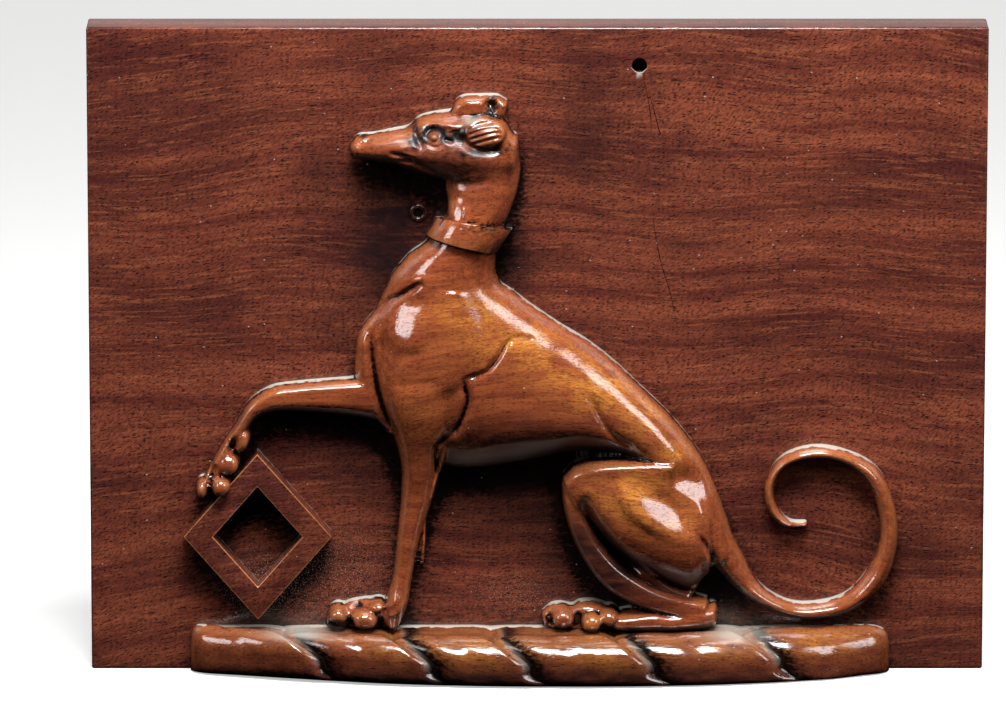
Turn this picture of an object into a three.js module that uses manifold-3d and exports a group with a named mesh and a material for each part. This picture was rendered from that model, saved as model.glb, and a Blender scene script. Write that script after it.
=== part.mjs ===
// Carved armorial panel of mahogany: a seated greyhound on a twisted torse, one paw on a mascle,
// all in high relief and cut with its ground from a single board.
// Millimetres, +Z up. The carved face looks along -Y, and the board stands on its bottom edge.
import * as THREE from "three";
import { mergeVertices } from "three/addons/utils/BufferGeometryUtils.js";
import Module from "manifold-3d";

const wasm = await Module();
wasm.setup();

// Board
const boardWidth = 305;
const boardHeight = 223;
const boardThickness = 18;
const arris = 0.8;
const nailHoleDiameter = 5.2;
const nailHoleDepth = 14;
const nailHoleX = 34.5;
const nailHoleBelowTop = 13;

// Torse, the twisted bar of cloth under the crest. It bows forward from its ends to its middle.
const torseLength = 239;
const torseX = 1;
const torseHeight = 16.5;
const torseProud = 30;
const torseEndProud = 8.5;
const torseRoll = 11;
const torseStrands = 6;
const torseGroove = 3;
const torseLap = 0.25;
const torseTwist = 26;

// Mascle, a lozenge with its middle cut out, which stands on the torse
const mascleWidth = 50.6;
const mascleHeight = 58;
const mascleBar = 7.6;
const mascleProud = 9.5;
const mascleX = -95.2;
const mascleClearance = 3;

// Greyhound, drawn 184 mm from its soles to its ear with its highest point 20.5 mm off the ground
const houndHeight = 184;
const houndRelief = 20.5;
const collarProud = 1.6;
const ringDiameter = 5.8;
const ringWire = 1.3;

const drawn = { height: 184, relief: 20.5, sole: 16.5 };
const grow = houndHeight / drawn.height;
const lift = houndRelief / drawn.relief;
const buried = 4;

const frontY = (boardThickness + torseProud) / 2 - boardThickness;

// Geometry into a solid, with its faces turned outwards
function solid(geometry) {
  const bare = geometry.index ? geometry.toNonIndexed() : geometry.clone();
  bare.deleteAttribute("normal");
  bare.deleteAttribute("uv");
  const merged = mergeVertices(bare, 1e-4);
  const vertProperties = new Float32Array(merged.attributes.position.array);
  const triVerts = new Uint32Array(merged.index.array);
  const made = new wasm.Manifold(new wasm.Mesh({ numProp: 3, vertProperties, triVerts }));
  if (made.volume() > 0) return made;
  for (let i = 0; i < triVerts.length; i += 3) {
    [triVerts[i + 1], triVerts[i + 2]] = [triVerts[i + 2], triVerts[i + 1]];
  }
  return new wasm.Manifold(new wasm.Mesh({ numProp: 3, vertProperties, triVerts }));
}

// A point of the drawing, at a height above the ground of the relief
function place(x, z, proud) {
  const up = torseHeight + (z - drawn.sole) * grow;
  return new THREE.Vector3(x * grow, frontY - proud * lift, up);
}

const power = (value, exponent) => Math.sign(value) * Math.abs(value) ** exponent;

// A point of a section's rim, across and outwards. Four fifths of the sides go to the half that shows.
function rim(x, z, fullness) {
  const showing = 0.8;
  const turn = Math.abs(Math.atan2(x, z)) / Math.PI;
  const front = turn < showing ? turn / showing : 1 + (turn - showing) / (1 - showing);
  const angle = (Math.sign(x) * front * Math.PI) / 2;
  const across = power(Math.sin(angle), 2 / fullness);
  const out = power(Math.cos(angle), 2 / fullness);
  return { across, out };
}

// A limb is a row of half-round sections. Each station gives the two points where a section meets
// the ground and its height: [x1, z1, x2, z2, height]. A fullness over 2 squares the section.
function limb(stations, { fullness = 2, sides = 12, steps = 3 } = {}) {
  const edge = (a, b) => stations.map((s) => new THREE.Vector3(s[a], s[4], s[b]));
  const first = new THREE.CatmullRomCurve3(edge(0, 1));
  const second = new THREE.CatmullRomCurve3(edge(2, 3));
  const rows = (stations.length - 1) * steps;
  const tube = new THREE.CylinderGeometry(1, 1, 1, sides, rows);
  const position = tube.attributes.position;
  for (let i = 0; i < position.count; i++) {
    const along = 0.5 - position.getY(i);
    const radius = Math.hypot(position.getX(i), position.getZ(i));
    const section = rim(position.getX(i), position.getZ(i), fullness);
    const across = section.across * radius;
    const out = section.out * radius;
    const a = first.getPoint(along);
    const b = second.getPoint(along);
    const x = (a.x + b.x) / 2 + (across * (b.x - a.x)) / 2;
    const z = (a.z + b.z) / 2 + (across * (b.z - a.z)) / 2;
    const proud = out > 0 ? out * a.y : (out * buried) / lift;
    position.setXYZ(i, ...place(x, z, proud).toArray());
  }
  return solid(tube);
}

// A rounded lump, such as a toe or an eyeball, turned by a tilt in degrees in the plane of the board
function lump([x, z, proud], [across, up, out], tilt = 0, sides = 8) {
  const ball = new THREE.SphereGeometry(1, sides, Math.ceil(sides * 0.6));
  ball.scale(across * grow, out * lift, up * grow);
  ball.rotateY(THREE.MathUtils.degToRad(-tilt));
  const centre = place(x, z, proud);
  ball.translate(centre.x, centre.y, centre.z);
  return solid(ball);
}

const fuse = (solids) => solids.reduce((whole, next) => whole.add(next));

function makeBoard() {
  const half = boardWidth / 2 - arris;
  const outline = new THREE.Shape();
  outline.moveTo(-half, arris);
  outline.lineTo(half, arris);
  outline.lineTo(half, boardHeight - arris);
  outline.lineTo(-half, boardHeight - arris);
  outline.closePath();
  const slab = new THREE.ExtrudeGeometry(outline, {
    depth: boardThickness - 2 * arris,
    bevelThickness: arris,
    bevelSize: arris,
    bevelSegments: 2,
  });
  slab.rotateX(Math.PI / 2);
  slab.translate(0, frontY + boardThickness - arris, 0);
  const drill = new THREE.CylinderGeometry(nailHoleDiameter / 2, nailHoleDiameter / 2, 2 * nailHoleDepth, 20);
  drill.translate(nailHoleX, frontY, boardHeight - nailHoleBelowTop);
  return solid(slab).subtract(solid(drill));
}

// The torse is a ledge with a rolled front edge. Its strands slant over the roll, and each lies over
// the one to its left. Underneath it is almost square, because the panel stands on it.
function makeTorse() {
  const sides = 16;
  const rows = 9 * torseStrands;
  const rollShare = 0.72;
  const tip = 0.05;
  const strand = torseLength / torseStrands;
  const half = torseHeight / 2;
  const bar = new THREE.CylinderGeometry(1, 1, 1, sides, rows);
  const position = bar.attributes.position;
  for (let i = 0; i < position.count; i++) {
    const share = 2 * position.getY(i);
    const radius = Math.hypot(position.getX(i), position.getZ(i));
    const turn = Math.atan2(position.getX(i), position.getZ(i)) / Math.PI;
    const angle = THREE.MathUtils.clamp(turn / rollShare, -1, 1) * (Math.PI / 2);
    const back = Math.max(0, Math.abs(turn) - rollShare) / (1 - rollShare);
    const squared = angle < 0 ? 5 : 2.2;
    const up = power(Math.sin(angle), 2 / squared);
    const out = power(Math.max(0, Math.cos(angle)), 2 / squared);
    const nearEnd = Math.max(0, (Math.abs(share) - 1 + tip) / tip);
    const round = 0.45 + 0.55 * Math.sqrt(1 - nearEnd ** 2);
    const reach = (torseEndProud + (torseProud - torseEndProud) * (1 - Math.abs(share) ** 2.4)) * round;
    const roll = Math.min(torseRoll, 0.8 * reach);
    const x = share * (torseLength / 2);
    const slant = (angle / Math.PI) * torseTwist * Math.min(1, 4 * (1 - Math.abs(share)));
    const along = x / strand + torseStrands;
    const lap = along - Math.floor(along);
    const rise = lap < torseLap ? lap / torseLap : (1 - lap) / (1 - torseLap);
    const fade = Math.min(1, 2 * (1 + up)) * (1 - back) * (Math.abs(share) > 0.99 ? 0 : 1);
    const dip = torseGroove * (1 - rise) ** 2.2 * fade;
    const front = reach - roll + (roll - dip) * out;
    const proud = (front - (front + buried) * back) * radius;
    const z = half + radius * up * (half * (up > 0 ? round : 1) - Math.max(0, up) * dip);
    position.setXYZ(i, torseX + x - slant, frontY - proud, z);
  }
  return solid(bar);
}

function makeMascle() {
  const halfWidth = mascleWidth / 2;
  const halfHeight = mascleHeight / 2;
  const side = Math.hypot(halfWidth, halfHeight);
  const inner = 1 - (mascleBar * side) / (halfWidth * halfHeight);
  const lozenge = (Outline, share) => {
    const path = new Outline();
    path.moveTo(halfWidth * share, 0);
    path.lineTo(0, halfHeight * share);
    path.lineTo(-halfWidth * share, 0);
    path.lineTo(0, -halfHeight * share);
    path.closePath();
    return path;
  };
  const outline = lozenge(THREE.Shape, 1);
  outline.holes.push(lozenge(THREE.Path, inner));
  const frame = new THREE.ExtrudeGeometry(outline, { depth: mascleProud + buried, bevelEnabled: false });
  frame.rotateX(Math.PI / 2);
  frame.translate(mascleX, frontY + buried, torseHeight + mascleClearance + halfHeight);
  return solid(frame);
}

function makeTrunk() {
  const body = limb([
    [-29, 142, -48, 138, 16],
    [-12.5, 135.5, -57, 118.5, 17],
    [-2, 128, -55.5, 98, 18],
    [7.5, 121.5, -49, 82, 18.5],
    [16.5, 116, -29.5, 71.5, 18.5],
    [25.5, 109, -7.5, 73, 18],
    [35, 100, 14, 77, 17.5],
    [46, 89, 31, 73.5, 17],
    [55.5, 76.5, 42, 58, 16],
    [61.2, 64.5, 48, 48, 15],
    [65, 54, 53, 42, 13.5],
    [67.8, 44.5, 58, 37, 12],
  ], { fullness: 2.3, sides: 16, steps: 2 });
  const farChest = limb([
    [-52, 130, -44, 130, 8],
    [-60.5, 119, -44, 119, 11],
    [-62, 111, -44, 111, 11.5],
    [-62, 102, -44, 102, 11.5],
    [-58.5, 92, -42, 92, 11],
    [-52, 85, -40, 85, 9],
  ], { fullness: 2.6, steps: 2 });
  return body.add(farChest);
}

function makeNeckAndHead() {
  const neck = limb([
    [-31, 174, -5.8, 181, 13],
    [-31.2, 168.5, -5.6, 174, 13.5],
    [-30.4, 163.5, -6.8, 167, 14.2],
    [-31.2, 159, -9, 160.5, 15],
    [-38.1, 149.8, -13.8, 149, 16],
    [-45.9, 143.2, -14, 140, 17],
    [-52, 133, -9, 131, 16.5],
    [-54.5, 127.5, -6, 126, 15],
  ], { fullness: 2.1, steps: 2 });
  const skull = limb([
    [-62.9, 184.2, -62.7, 180.6, 8],
    [-60.6, 186.8, -61, 178.2, 10.5],
    [-55, 187.4, -55, 177.4, 12],
    [-48.4, 188.8, -48.2, 176.1, 13],
    [-43.6, 189.9, -42.5, 174, 13.2],
    [-40.4, 192.8, -38.8, 172.8, 13.8],
    [-36, 194.2, -34, 171.6, 14.5],
    [-29, 195.3, -28, 170, 15.5],
    [-20, 195.6, -20.5, 169, 15.8],
    [-12.5, 193.8, -14, 169, 14.5],
    [-8, 187.5, -9.5, 172, 12.5],
  ], { fullness: 2.2, steps: 2 });
  const farEar = limb([
    [-29.3, 194.5, -27, 190, 8],
    [-27.8, 198.3, -24.5, 190, 9],
    [-25, 200.2, -22.5, 190, 9.3],
    [-20, 200.5, -19.5, 190, 9.5],
    [-14, 200.6, -14.5, 190, 9],
    [-10.4, 198.6, -12, 192, 8],
  ], { steps: 2, sides: 14 });
  const nearEar = lump([-17.8, 189.2, 14.2], [7, 4.6, 2.4], -4, 12);
  const brow = lump([-34.5, 190.5, 12.6], [5, 1.6, 2.4], -8);
  const eye = lump([-34.8, 187.6, 13.4], [1.8, 1.6, 1.3]);
  return fuse([neck, skull, farEar, nearEar, brow, eye]);
}

function makeCollar() {
  const band = limb([
    [-34.3, 158.2, -8, 153.8, 15.6 + collarProud],
    [-38, 152.4, -13.5, 145.4, 16.8 + collarProud],
  ], { fullness: 2.4, sides: 18, steps: 1 });
  const wire = ringWire / 2;
  const ring = new THREE.TorusGeometry(ringDiameter / 2 - wire, wire, 10, 28);
  ring.rotateX(Math.PI / 2);
  const centre = place(-40.4, 159, 0.2);
  ring.translate(centre.x, centre.y, centre.z);
  const link = lump([-36.4, 158.4, 0.6], [2.2, 0.8, 1], 12);
  return fuse([band, solid(ring), link]);
}

function makeStandingForeleg() {
  const shoulder = limb([
    [-39, 136, -19, 133, 17.8],
    [-49, 127, -13, 124, 19.3],
    [-54.5, 117, -9, 113, 20.3],
    [-56, 108, -14.5, 104, 20.5],
    [-55, 100, -22.5, 99, 20.3],
    [-53, 92, -24.5, 91.5, 19.3],
    [-49.5, 84, -28, 84, 17],
    [-47.4, 77, -31.5, 77, 15],
  ], { fullness: 2.8, sides: 16, steps: 2 });
  const foreleg = limb([
    [-49, 84, -28.5, 84, 16.5],
    [-47.2, 77, -31.8, 77, 14.6],
    [-46.3, 70, -33.3, 70, 13.3],
    [-46.6, 62, -35, 62, 11.8],
    [-47.4, 53, -38, 53, 11],
    [-48.4, 43, -40.6, 42.5, 10.5],
    [-49.4, 34, -42.4, 33.5, 10.5],
    [-51.4, 27.5, -43.6, 25.5, 11.5],
    [-52.6, 22.5, -45.2, 20, 11.5],
    [-51.5, 17, -47.5, 15.5, 10.5],
  ], { steps: 2 });
  const elbow = limb([
    [-34, 85.5, -28.2, 84.8, 10],
    [-34.6, 80, -29, 80.8, 11.5],
    [-35.4, 74, -31.2, 74.8, 11],
    [-36.6, 67, -33.8, 67.6, 10],
    [-37.6, 61, -35.6, 61.3, 9],
  ], { sides: 8, steps: 1 });
  const paw = limb([
    [-47, 22, -47.5, 15, 10],
    [-52, 25, -52, 14.5, 10.8],
    [-57, 25.8, -57, 14.5, 11],
    [-62, 25.4, -62, 14.5, 10.5],
    [-67, 23.4, -67, 15, 9],
    [-71.3, 20, -71.3, 16, 7],
  ], { steps: 2 });
  const toes = [
    lump([-59, 20, 12.2], [4.6, 3.4, 3.2], -8),
    lump([-67.9, 20.7, 10.3], [3, 3.2, 3]),
    lump([-55.2, 22.8, 9.4], [2.6, 2, 2.6], 20),
  ];
  return fuse([shoulder, foreleg, elbow, paw, ...toes]);
}

function makeRaisedForeleg() {
  const leg = limb([
    [-46, 104, -46, 86, 10],
    [-62, 102.8, -62, 89, 10.5],
    [-72, 102, -72, 90.3, 10.5],
    [-82.5, 101, -82.5, 91, 10.5],
    [-90.5, 99.6, -89.8, 91, 11],
    [-97.5, 95, -95, 89.2, 11.5],
    [-102.8, 87, -99.3, 83.5, 11.5],
    [-108.4, 78.2, -103.6, 75.3, 11.5],
    [-112.2, 71.2, -106.5, 69.3, 11],
    [-114.3, 66, -108, 64.8, 10],
  ], { steps: 2 });
  const toes = [
    lump([-107.8, 66.4, 12], [3.4, 3.2, 3]),
    lump([-114, 65, 9.6], [1.9, 3, 2.8]),
    lump([-105.2, 73.8, 9.8], [3.6, 3.8, 2.8], -20),
    lump([-100.4, 82, 9.8], [2.4, 3.9, 2.4], -15),
  ];
  return fuse([leg, ...toes]);
}

function makeHaunch() {
  const thigh = limb([
    [9.5, 70, 10, 62, 14],
    [12.5, 73.2, 13.5, 56, 16.8],
    [18, 75.2, 19, 49, 18.5],
    [26, 76.1, 26.5, 41.6, 19.6],
    [35, 76.7, 35.5, 35, 20.3],
    [44.5, 76.4, 44.5, 31, 20.4],
    [53, 72, 52.5, 29.5, 19.3],
    [58, 62, 58, 34, 16.5],
  ], { fullness: 2.6, sides: 16, steps: 2 });
  const shin = limb([
    [8.2, 66.5, 15.5, 67.5, 14],
    [8.6, 60, 16.5, 61.5, 14.5],
    [10.2, 52.5, 19, 55, 14.5],
    [13.2, 44.5, 22.8, 48, 14],
    [18.5, 35.5, 28, 41, 13.8],
    [25.5, 28.3, 33.5, 36, 13.5],
    [35, 23.5, 40.5, 31.5, 13],
    [45, 20.5, 48.5, 28.5, 12.5],
    [56, 18.5, 57.5, 26.5, 12],
  ], { fullness: 2.4, steps: 2 });
  const foot = limb([
    [60.2, 24.8, 59.8, 15.5, 11],
    [56, 24.5, 56, 15, 12.5],
    [47, 22.8, 47, 14.3, 13],
    [40, 23.4, 40, 14.3, 13.5],
    [33, 22.6, 33, 14.3, 13.5],
    [27.5, 22, 27.5, 14.3, 12.5],
    [20, 22.5, 20, 14.3, 10.5],
    [8, 22, 7, 14.5, 9],
    [3.3, 20.5, 3, 15.5, 7.5],
  ], { fullness: 2.4, steps: 2 });
  const farFoot = limb([
    [25, 23, 25, 19, 8],
    [18.5, 25.2, 18.5, 19, 9.5],
    [13.5, 24.7, 13.5, 19, 9.3],
    [8, 24.3, 8, 18.5, 8.8],
    [2.2, 21.6, 2.4, 17.5, 6.5],
  ], { steps: 2 });
  const toes = [
    lump([24.3, 20.4, 11.8], [3.4, 2.8, 2.6]),
    lump([18.7, 19, 12.6], [3.6, 3.1, 3.2]),
    lump([8.8, 20, 10.6], [3.6, 3.2, 3]),
  ];
  return fuse([thigh, shin, foot, farFoot, ...toes]);
}

function makeTail() {
  return limb([
    [63, 59, 51, 47, 13],
    [66.5, 49, 56, 42, 12],
    [70.3, 41.5, 61.5, 35.5, 10.8],
    [75.6, 31.4, 69.4, 27.6, 9.2],
    [84.5, 25.3, 81, 21, 8.5],
    [94, 24.2, 93, 18.2, 8.5],
    [105.4, 27.4, 107, 20.7, 8.5],
    [113.1, 36.2, 118.6, 30.3, 8.5],
    [116.8, 46.7, 123.3, 45.3, 8.5],
    [115.7, 58, 121.8, 59.3, 8],
    [111, 67.5, 116, 71.2, 8],
    [103.5, 73, 106, 77, 7.5],
    [94.4, 74.3, 94.4, 79, 7.5],
    [86, 72.2, 83.5, 75.4, 7.5],
    [81.5, 67, 78, 67.2, 7],
    [81, 61, 77.5, 60, 7],
    [83, 56.2, 80.4, 53.4, 6.5],
    [86.5, 53, 85, 50.4, 6],
    [91.5, 52.6, 91.5, 50.2, 4],
  ], { sides: 10, steps: 2 });
}

const carving = fuse([
  makeBoard(),
  makeTorse(),
  makeMascle(),
  makeTrunk(),
  makeNeckAndHead(),
  makeCollar(),
  makeStandingForeleg(),
  makeRaisedForeleg(),
  makeHaunch(),
  makeTail(),
]);

// The fused solid as one mesh
const shell = carving.getMesh();
const surface = new THREE.BufferGeometry();
surface.setAttribute("position", new THREE.BufferAttribute(new Float32Array(shell.vertProperties), 3));
surface.setIndex(new THREE.BufferAttribute(new Uint32Array(shell.triVerts), 1));
const mahogany = new THREE.MeshStandardMaterial({ color: 0x5a2a1c, roughness: 0.22, metalness: 0 });
const panel = new THREE.Mesh(surface, mahogany);
panel.name = "carved_panel";

const crest = new THREE.Group();
crest.add(panel);

export default crest;
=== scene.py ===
# %% [markdown]
# # A greyhound crest carved in mahogany
# The object is one mahogany board, 305 mm wide and 18 mm thick. A seated greyhound stands out of it in
# high relief, on a twisted torse, with one paw on a mascle. The board was left thick at first, and the
# ground was cut away round the figures, so everything here is the same piece of wood. The frame from
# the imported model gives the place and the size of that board, and nothing below moves either.

# %% The frame
import math

import bmesh
import bpy
import numpy as np
from mathutils import Matrix, Vector
from mathutils.bvhtree import BVHTree


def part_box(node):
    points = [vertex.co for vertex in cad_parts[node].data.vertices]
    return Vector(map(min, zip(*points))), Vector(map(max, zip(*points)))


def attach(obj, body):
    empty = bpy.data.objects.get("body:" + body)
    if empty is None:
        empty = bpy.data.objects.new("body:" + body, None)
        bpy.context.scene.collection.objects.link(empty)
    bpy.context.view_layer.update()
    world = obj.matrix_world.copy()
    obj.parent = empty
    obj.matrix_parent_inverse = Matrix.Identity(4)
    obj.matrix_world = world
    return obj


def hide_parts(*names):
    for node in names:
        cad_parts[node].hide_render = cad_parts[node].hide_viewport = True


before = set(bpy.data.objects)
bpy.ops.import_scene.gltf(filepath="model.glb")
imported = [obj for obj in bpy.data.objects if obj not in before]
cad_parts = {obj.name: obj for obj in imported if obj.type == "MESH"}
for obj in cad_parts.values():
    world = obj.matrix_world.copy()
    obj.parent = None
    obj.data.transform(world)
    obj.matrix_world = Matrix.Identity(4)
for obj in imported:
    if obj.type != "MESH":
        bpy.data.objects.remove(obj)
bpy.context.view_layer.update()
BOARD = "carved_panel"
MM = 0.001
board_low, board_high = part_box(BOARD)
BOARD_THICKNESS = 18 * MM
GROUND_Y = board_high.y - BOARD_THICKNESS
BOARD_WIDTH = board_high.x - board_low.x
BOARD_HEIGHT = board_high.z - board_low.z
print("board", round(BOARD_WIDTH / MM), "by", round(BOARD_HEIGHT / MM), "mm")
print("ground at y", round(GROUND_Y / MM, 2), "mm")

# %% [markdown]
# ## The carver's plan
# A relief can be described by one number at every point of the board: how far the wood stands proud of
# the ground there. A carver keeps that in the head, and here it is a grid with one cell for each quarter
# of a millimetre. The grid holds the square of the height. The square falls to nothing in a straight
# line at the edge of a half-round form, where the height itself falls like a cliff, so the walls of the
# figure can be found exactly.

# %% The plan
CELL = 0.25
PLAN_LEFT, PLAN_RIGHT = -125.0, 130.0
PLAN_LOW, PLAN_TOP = 9.0, 207.0
OUTSIDE = -40.0
plan_x = np.arange(PLAN_LEFT, PLAN_RIGHT, CELL)
plan_z = np.arange(PLAN_LOW, PLAN_TOP, CELL)
plan = np.full((len(plan_z), len(plan_x)), OUTSIDE)


def window(points, margin):
    """The part of the plan round some points: its slices, and the x and z of its cells."""
    low = np.min(points, axis=0) - margin
    high = np.max(points, axis=0) + margin
    columns = slice(max(0, int((low[0] - PLAN_LEFT) / CELL)), max(0, int((high[0] - PLAN_LEFT) / CELL) + 2))
    rows = slice(max(0, int((low[1] - PLAN_LOW) / CELL)), max(0, int((high[1] - PLAN_LOW) / CELL) + 2))
    x, z = np.meshgrid(plan_x[columns], plan_z[rows])
    return (rows, columns), x, z


def blur(field, cells):
    """A field blurred over so many cells, by damping its fine waves."""
    up = np.fft.fftfreq(field.shape[0])[:, None]
    across = np.fft.rfftfreq(field.shape[1])[None, :]
    keep = np.exp(-2 * (math.pi * cells) ** 2 * (up**2 + across**2))
    return np.fft.irfft2(np.fft.rfft2(field) * keep, s=field.shape)


print("plan", plan.shape[1], "by", plan.shape[0], "cells")

# %% [markdown]
# ## Limbs
# A leg or a neck is laid out as a row of stations. Each station names the two points of the drawing
# where a section of the limb meets the ground, and how high the section stands between them. A smooth
# curve runs through the stations, and each strip between two neighbouring sections is filled in on the
# plan. A fullness of 0 gives a half-round section, and 1 gives one with a flat top and round shoulders.

# %% Limbs on the plan
STATION_STEPS = 8
FLANK = 1.35
CAP_REACH = 1.3


def curve(points, steps=STATION_STEPS):
    """A smooth curve through rows of numbers, with so many steps from one row to the next."""
    p = np.array(points, float)
    p = np.vstack([2 * p[0] - p[1], p, 2 * p[-1] - p[-2]])
    t = np.linspace(0, 1, steps, endpoint=False)[:, None]
    parts = [
        b + 0.5 * ((c - a) * t + (2 * a - 5 * b + 4 * c - d) * t**2 + (3 * b - a - 3 * c + d) * t**3)
        for a, b, c, d in zip(p, p[1:], p[2:], p[3:])
    ]
    return np.vstack([*parts, p[-2:-1]])


def limb(stations, fullness=(0.0, 0.0), cap=0.4):
    """A layer of the plan with one limb on it. Its ends round off over a share, cap, of its half width."""
    rows = curve(stations)
    middle = (rows[:, 0:2] + rows[:, 2:4]) / 2
    arm = (rows[:, 2:4] - rows[:, 0:2]) / 2
    high = rows[:, 4]
    half = np.hypot(arm[:, 0], arm[:, 1])
    ahead = np.stack([-arm[:, 1], arm[:, 0]], axis=1) / half[:, None]
    if np.sum(ahead[0] * (middle[1] - middle[0])) < 0:
        ahead = -ahead
    first = middle[0] - ahead[0] * half[0] * cap * CAP_REACH
    last = middle[-1] + ahead[-1] * half[-1] * cap * CAP_REACH
    middle = np.vstack([first, middle, last])
    arm = np.vstack([arm[0], arm, arm[-1]])
    ahead = np.vstack([ahead[0], ahead, ahead[-1]])
    high = np.concatenate([high[:1], high, high[-1:]])
    past = np.zeros(len(high))
    past[[0, -1]] = CAP_REACH
    layer = np.full(plan.shape, OUTSIDE)
    for i in range(len(high) - 1):
        reach = [m + side * FLANK * a for m, a in zip(middle[i:i + 2], arm[i:i + 2]) for side in (-1, 1)]
        cells, x, z = window(reach, CELL)
        before = (x - middle[i, 0]) * ahead[i, 0] + (z - middle[i, 1]) * ahead[i, 1]
        after = (x - middle[i + 1, 0]) * ahead[i + 1, 0] + (z - middle[i + 1, 1]) * ahead[i + 1, 1]
        t = before / np.where(np.abs(before - after) > 1e-6, before - after, 1.0)
        run_x = arm[i, 0] + t * (arm[i + 1, 0] - arm[i, 0])
        run_z = arm[i, 1] + t * (arm[i + 1, 1] - arm[i, 1])
        off_x = x - middle[i, 0] - t * (middle[i + 1, 0] - middle[i, 0])
        off_z = z - middle[i, 1] - t * (middle[i + 1, 1] - middle[i, 1])
        across = (off_x * run_x + off_z * run_z) / (run_x**2 + run_z**2)
        height = high[i] + t * (high[i + 1] - high[i])
        end = past[i] + t * (past[i + 1] - past[i])
        full = np.where(across < 0, *fullness)
        fall = np.where(full > 1, np.abs(across) ** (2 + 2 * full), (1 - full) * across**2 + full * across**4)
        square = height**2 * (1 - fall - end**2)
        inside = (before >= -1e-9) & (after <= 1e-9) & (np.abs(across) < FLANK)
        layer[cells] = np.maximum(layer[cells], np.where(inside, square, OUTSIDE))
    return layer


def join(under, over, soft):
    """The higher of two layers, with the seam between them softened over so many millimetres."""
    reach = 2 * soft * np.sqrt(np.maximum(np.maximum(under, over), 1.0))
    near = np.clip(1 - np.abs(under - over) / reach, 0, 1)
    return np.maximum(under, over) + reach * near**2 / 4


print("each limb has", STATION_STEPS, "strips between two stations")

# %% [markdown]
# ## The greyhound's forms
# The stations below are the hound as it was set out on the board, in millimetres from the middle of the
# board and from its foot: the two ends of a section, and its height. The order is a carver's order, the
# trunk and neck first, then the head, the shoulder and the legs, and last the tail, which lies close to
# the ground. One form, the hollow of the hock, only fills the narrow valley between thigh and shin, where
# a gouge can't reach down to the ground.

# %% Trunk, neck and head
body = limb([
    [-29, 142, -48, 138, 16],
    [-12.5, 135.5, -57, 118.5, 17],
    [-2, 128, -55.5, 98, 18],
    [7.5, 121.5, -49, 82, 18.5],
    [16.5, 116, -29.5, 71.5, 18.5],
    [25.5, 109, -7.5, 73, 18],
    [35, 100, 14, 77, 17.5],
    [46, 89, 31, 73.5, 17],
    [55.5, 76.5, 42, 58, 16],
    [61.2, 64.5, 48, 48, 15],
    [65, 54, 53, 42, 13.5],
    [67.8, 44.5, 58, 37, 12],
], fullness=(0.3, -0.45), cap=0.2)
far_chest = limb([
    [-52, 130, -44, 130, 8],
    [-60.5, 119, -44, 119, 11],
    [-62, 111, -44, 111, 11.5],
    [-62, 102, -44, 102, 11.5],
    [-58.5, 92, -42, 92, 11],
    [-52, 85, -40, 85, 9],
], fullness=(0.6, 0.6))
neck = limb([
    [-31, 174, -5.8, 181, 13],
    [-31.2, 168.5, -5.6, 174, 13.5],
    [-30.4, 163.5, -6.8, 167, 14.2],
    [-31.2, 159, -9.0, 160.5, 15],
    [-34.0, 155, -11.5, 154.5, 15.5],
    [-38.1, 149.8, -13.8, 149, 16],
    [-42.5, 146.7, -14.0, 144, 16.5],
    [-45.9, 143.2, -14, 140, 17],
    [-49.5, 138.5, -12.5, 136, 17],
    [-52, 133, -9, 131, 16.5],
    [-54.5, 127.5, -6, 126, 15],
], fullness=(0.6, 0.0))
skull = limb([
    [-62.9, 184.2, -62.7, 180.6, 8],
    [-60.6, 186.8, -61.0, 178.2, 10.5],
    [-55, 187.4, -55, 177.4, 12],
    [-48.4, 188.8, -48.2, 176.1, 13],
    [-43.6, 189.9, -42.5, 174.0, 13.2],
    [-40.4, 192.8, -38.8, 172.8, 13.8],
    [-36, 194.2, -34.0, 171.6, 14.5],
    [-29, 195.3, -28, 170, 15.5],
    [-20, 195.6, -20.5, 169, 15.8],
    [-12.5, 193.8, -14, 169, 14.5],
    [-8, 187.5, -9.5, 172, 12.5],
], fullness=(0.9, -0.3), cap=0.3)
far_ear = limb([
    [-29.3, 194.5, -27, 190, 8],
    [-27.8, 198.3, -24.5, 190, 9],
    [-25, 200.2, -22.5, 190, 9.3],
    [-20, 200.5, -19.5, 190, 9.5],
    [-14, 200.6, -14.5, 190, 9],
    [-10.4, 198.6, -12, 192, 8],
], fullness=(3.0, 0.5), cap=0.2)
print("trunk, neck, head and far ear laid out")

# %% Foreleg, raised leg and paw
shoulder = limb([
    [-39, 136, -19, 133, 17.8],
    [-49, 127, -13, 124, 19.3],
    [-54.5, 117, -9, 113, 20.3],
    [-56, 108, -14.5, 104, 20.5],
    [-55, 100, -22.5, 99, 20.3],
    [-53, 92, -24.5, 91.5, 19.3],
    [-49.5, 84, -28, 84, 17],
    [-47.4, 77, -31.5, 77, 15],
    [-46.3, 70, -33.3, 70, 13.4],
    [-46.5, 62, -35, 62, 11.6],
    [-47.5, 52, -38.2, 52, 10.8],
], fullness=(0.7, 0.3), cap=0.25)
foreleg = limb([
    [-46.3, 70, -33.3, 70, 13.3],
    [-46.6, 62, -35, 62, 11.8],
    [-47.4, 53, -38, 53, 11],
    [-48.4, 43, -40.6, 42.5, 10.5],
    [-49.4, 34, -42.4, 33.5, 10.5],
    [-51.4, 27.5, -43.6, 25.5, 11.5],
    [-52.6, 22.5, -45.2, 20, 11.5],
    [-51.5, 17, -47.5, 15.5, 10.5],
], fullness=(0.7, 0.3), cap=0.25)
elbow = limb([
    [-33.0, 85.5, -28.2, 84.8, 10],
    [-33.4, 80, -29.0, 80.8, 11.5],
    [-34.6, 74, -31.2, 74.8, 11],
    [-35.8, 67, -33.8, 67.6, 10],
    [-36.8, 61, -35.6, 61.3, 9],
], cap=0.5)
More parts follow.
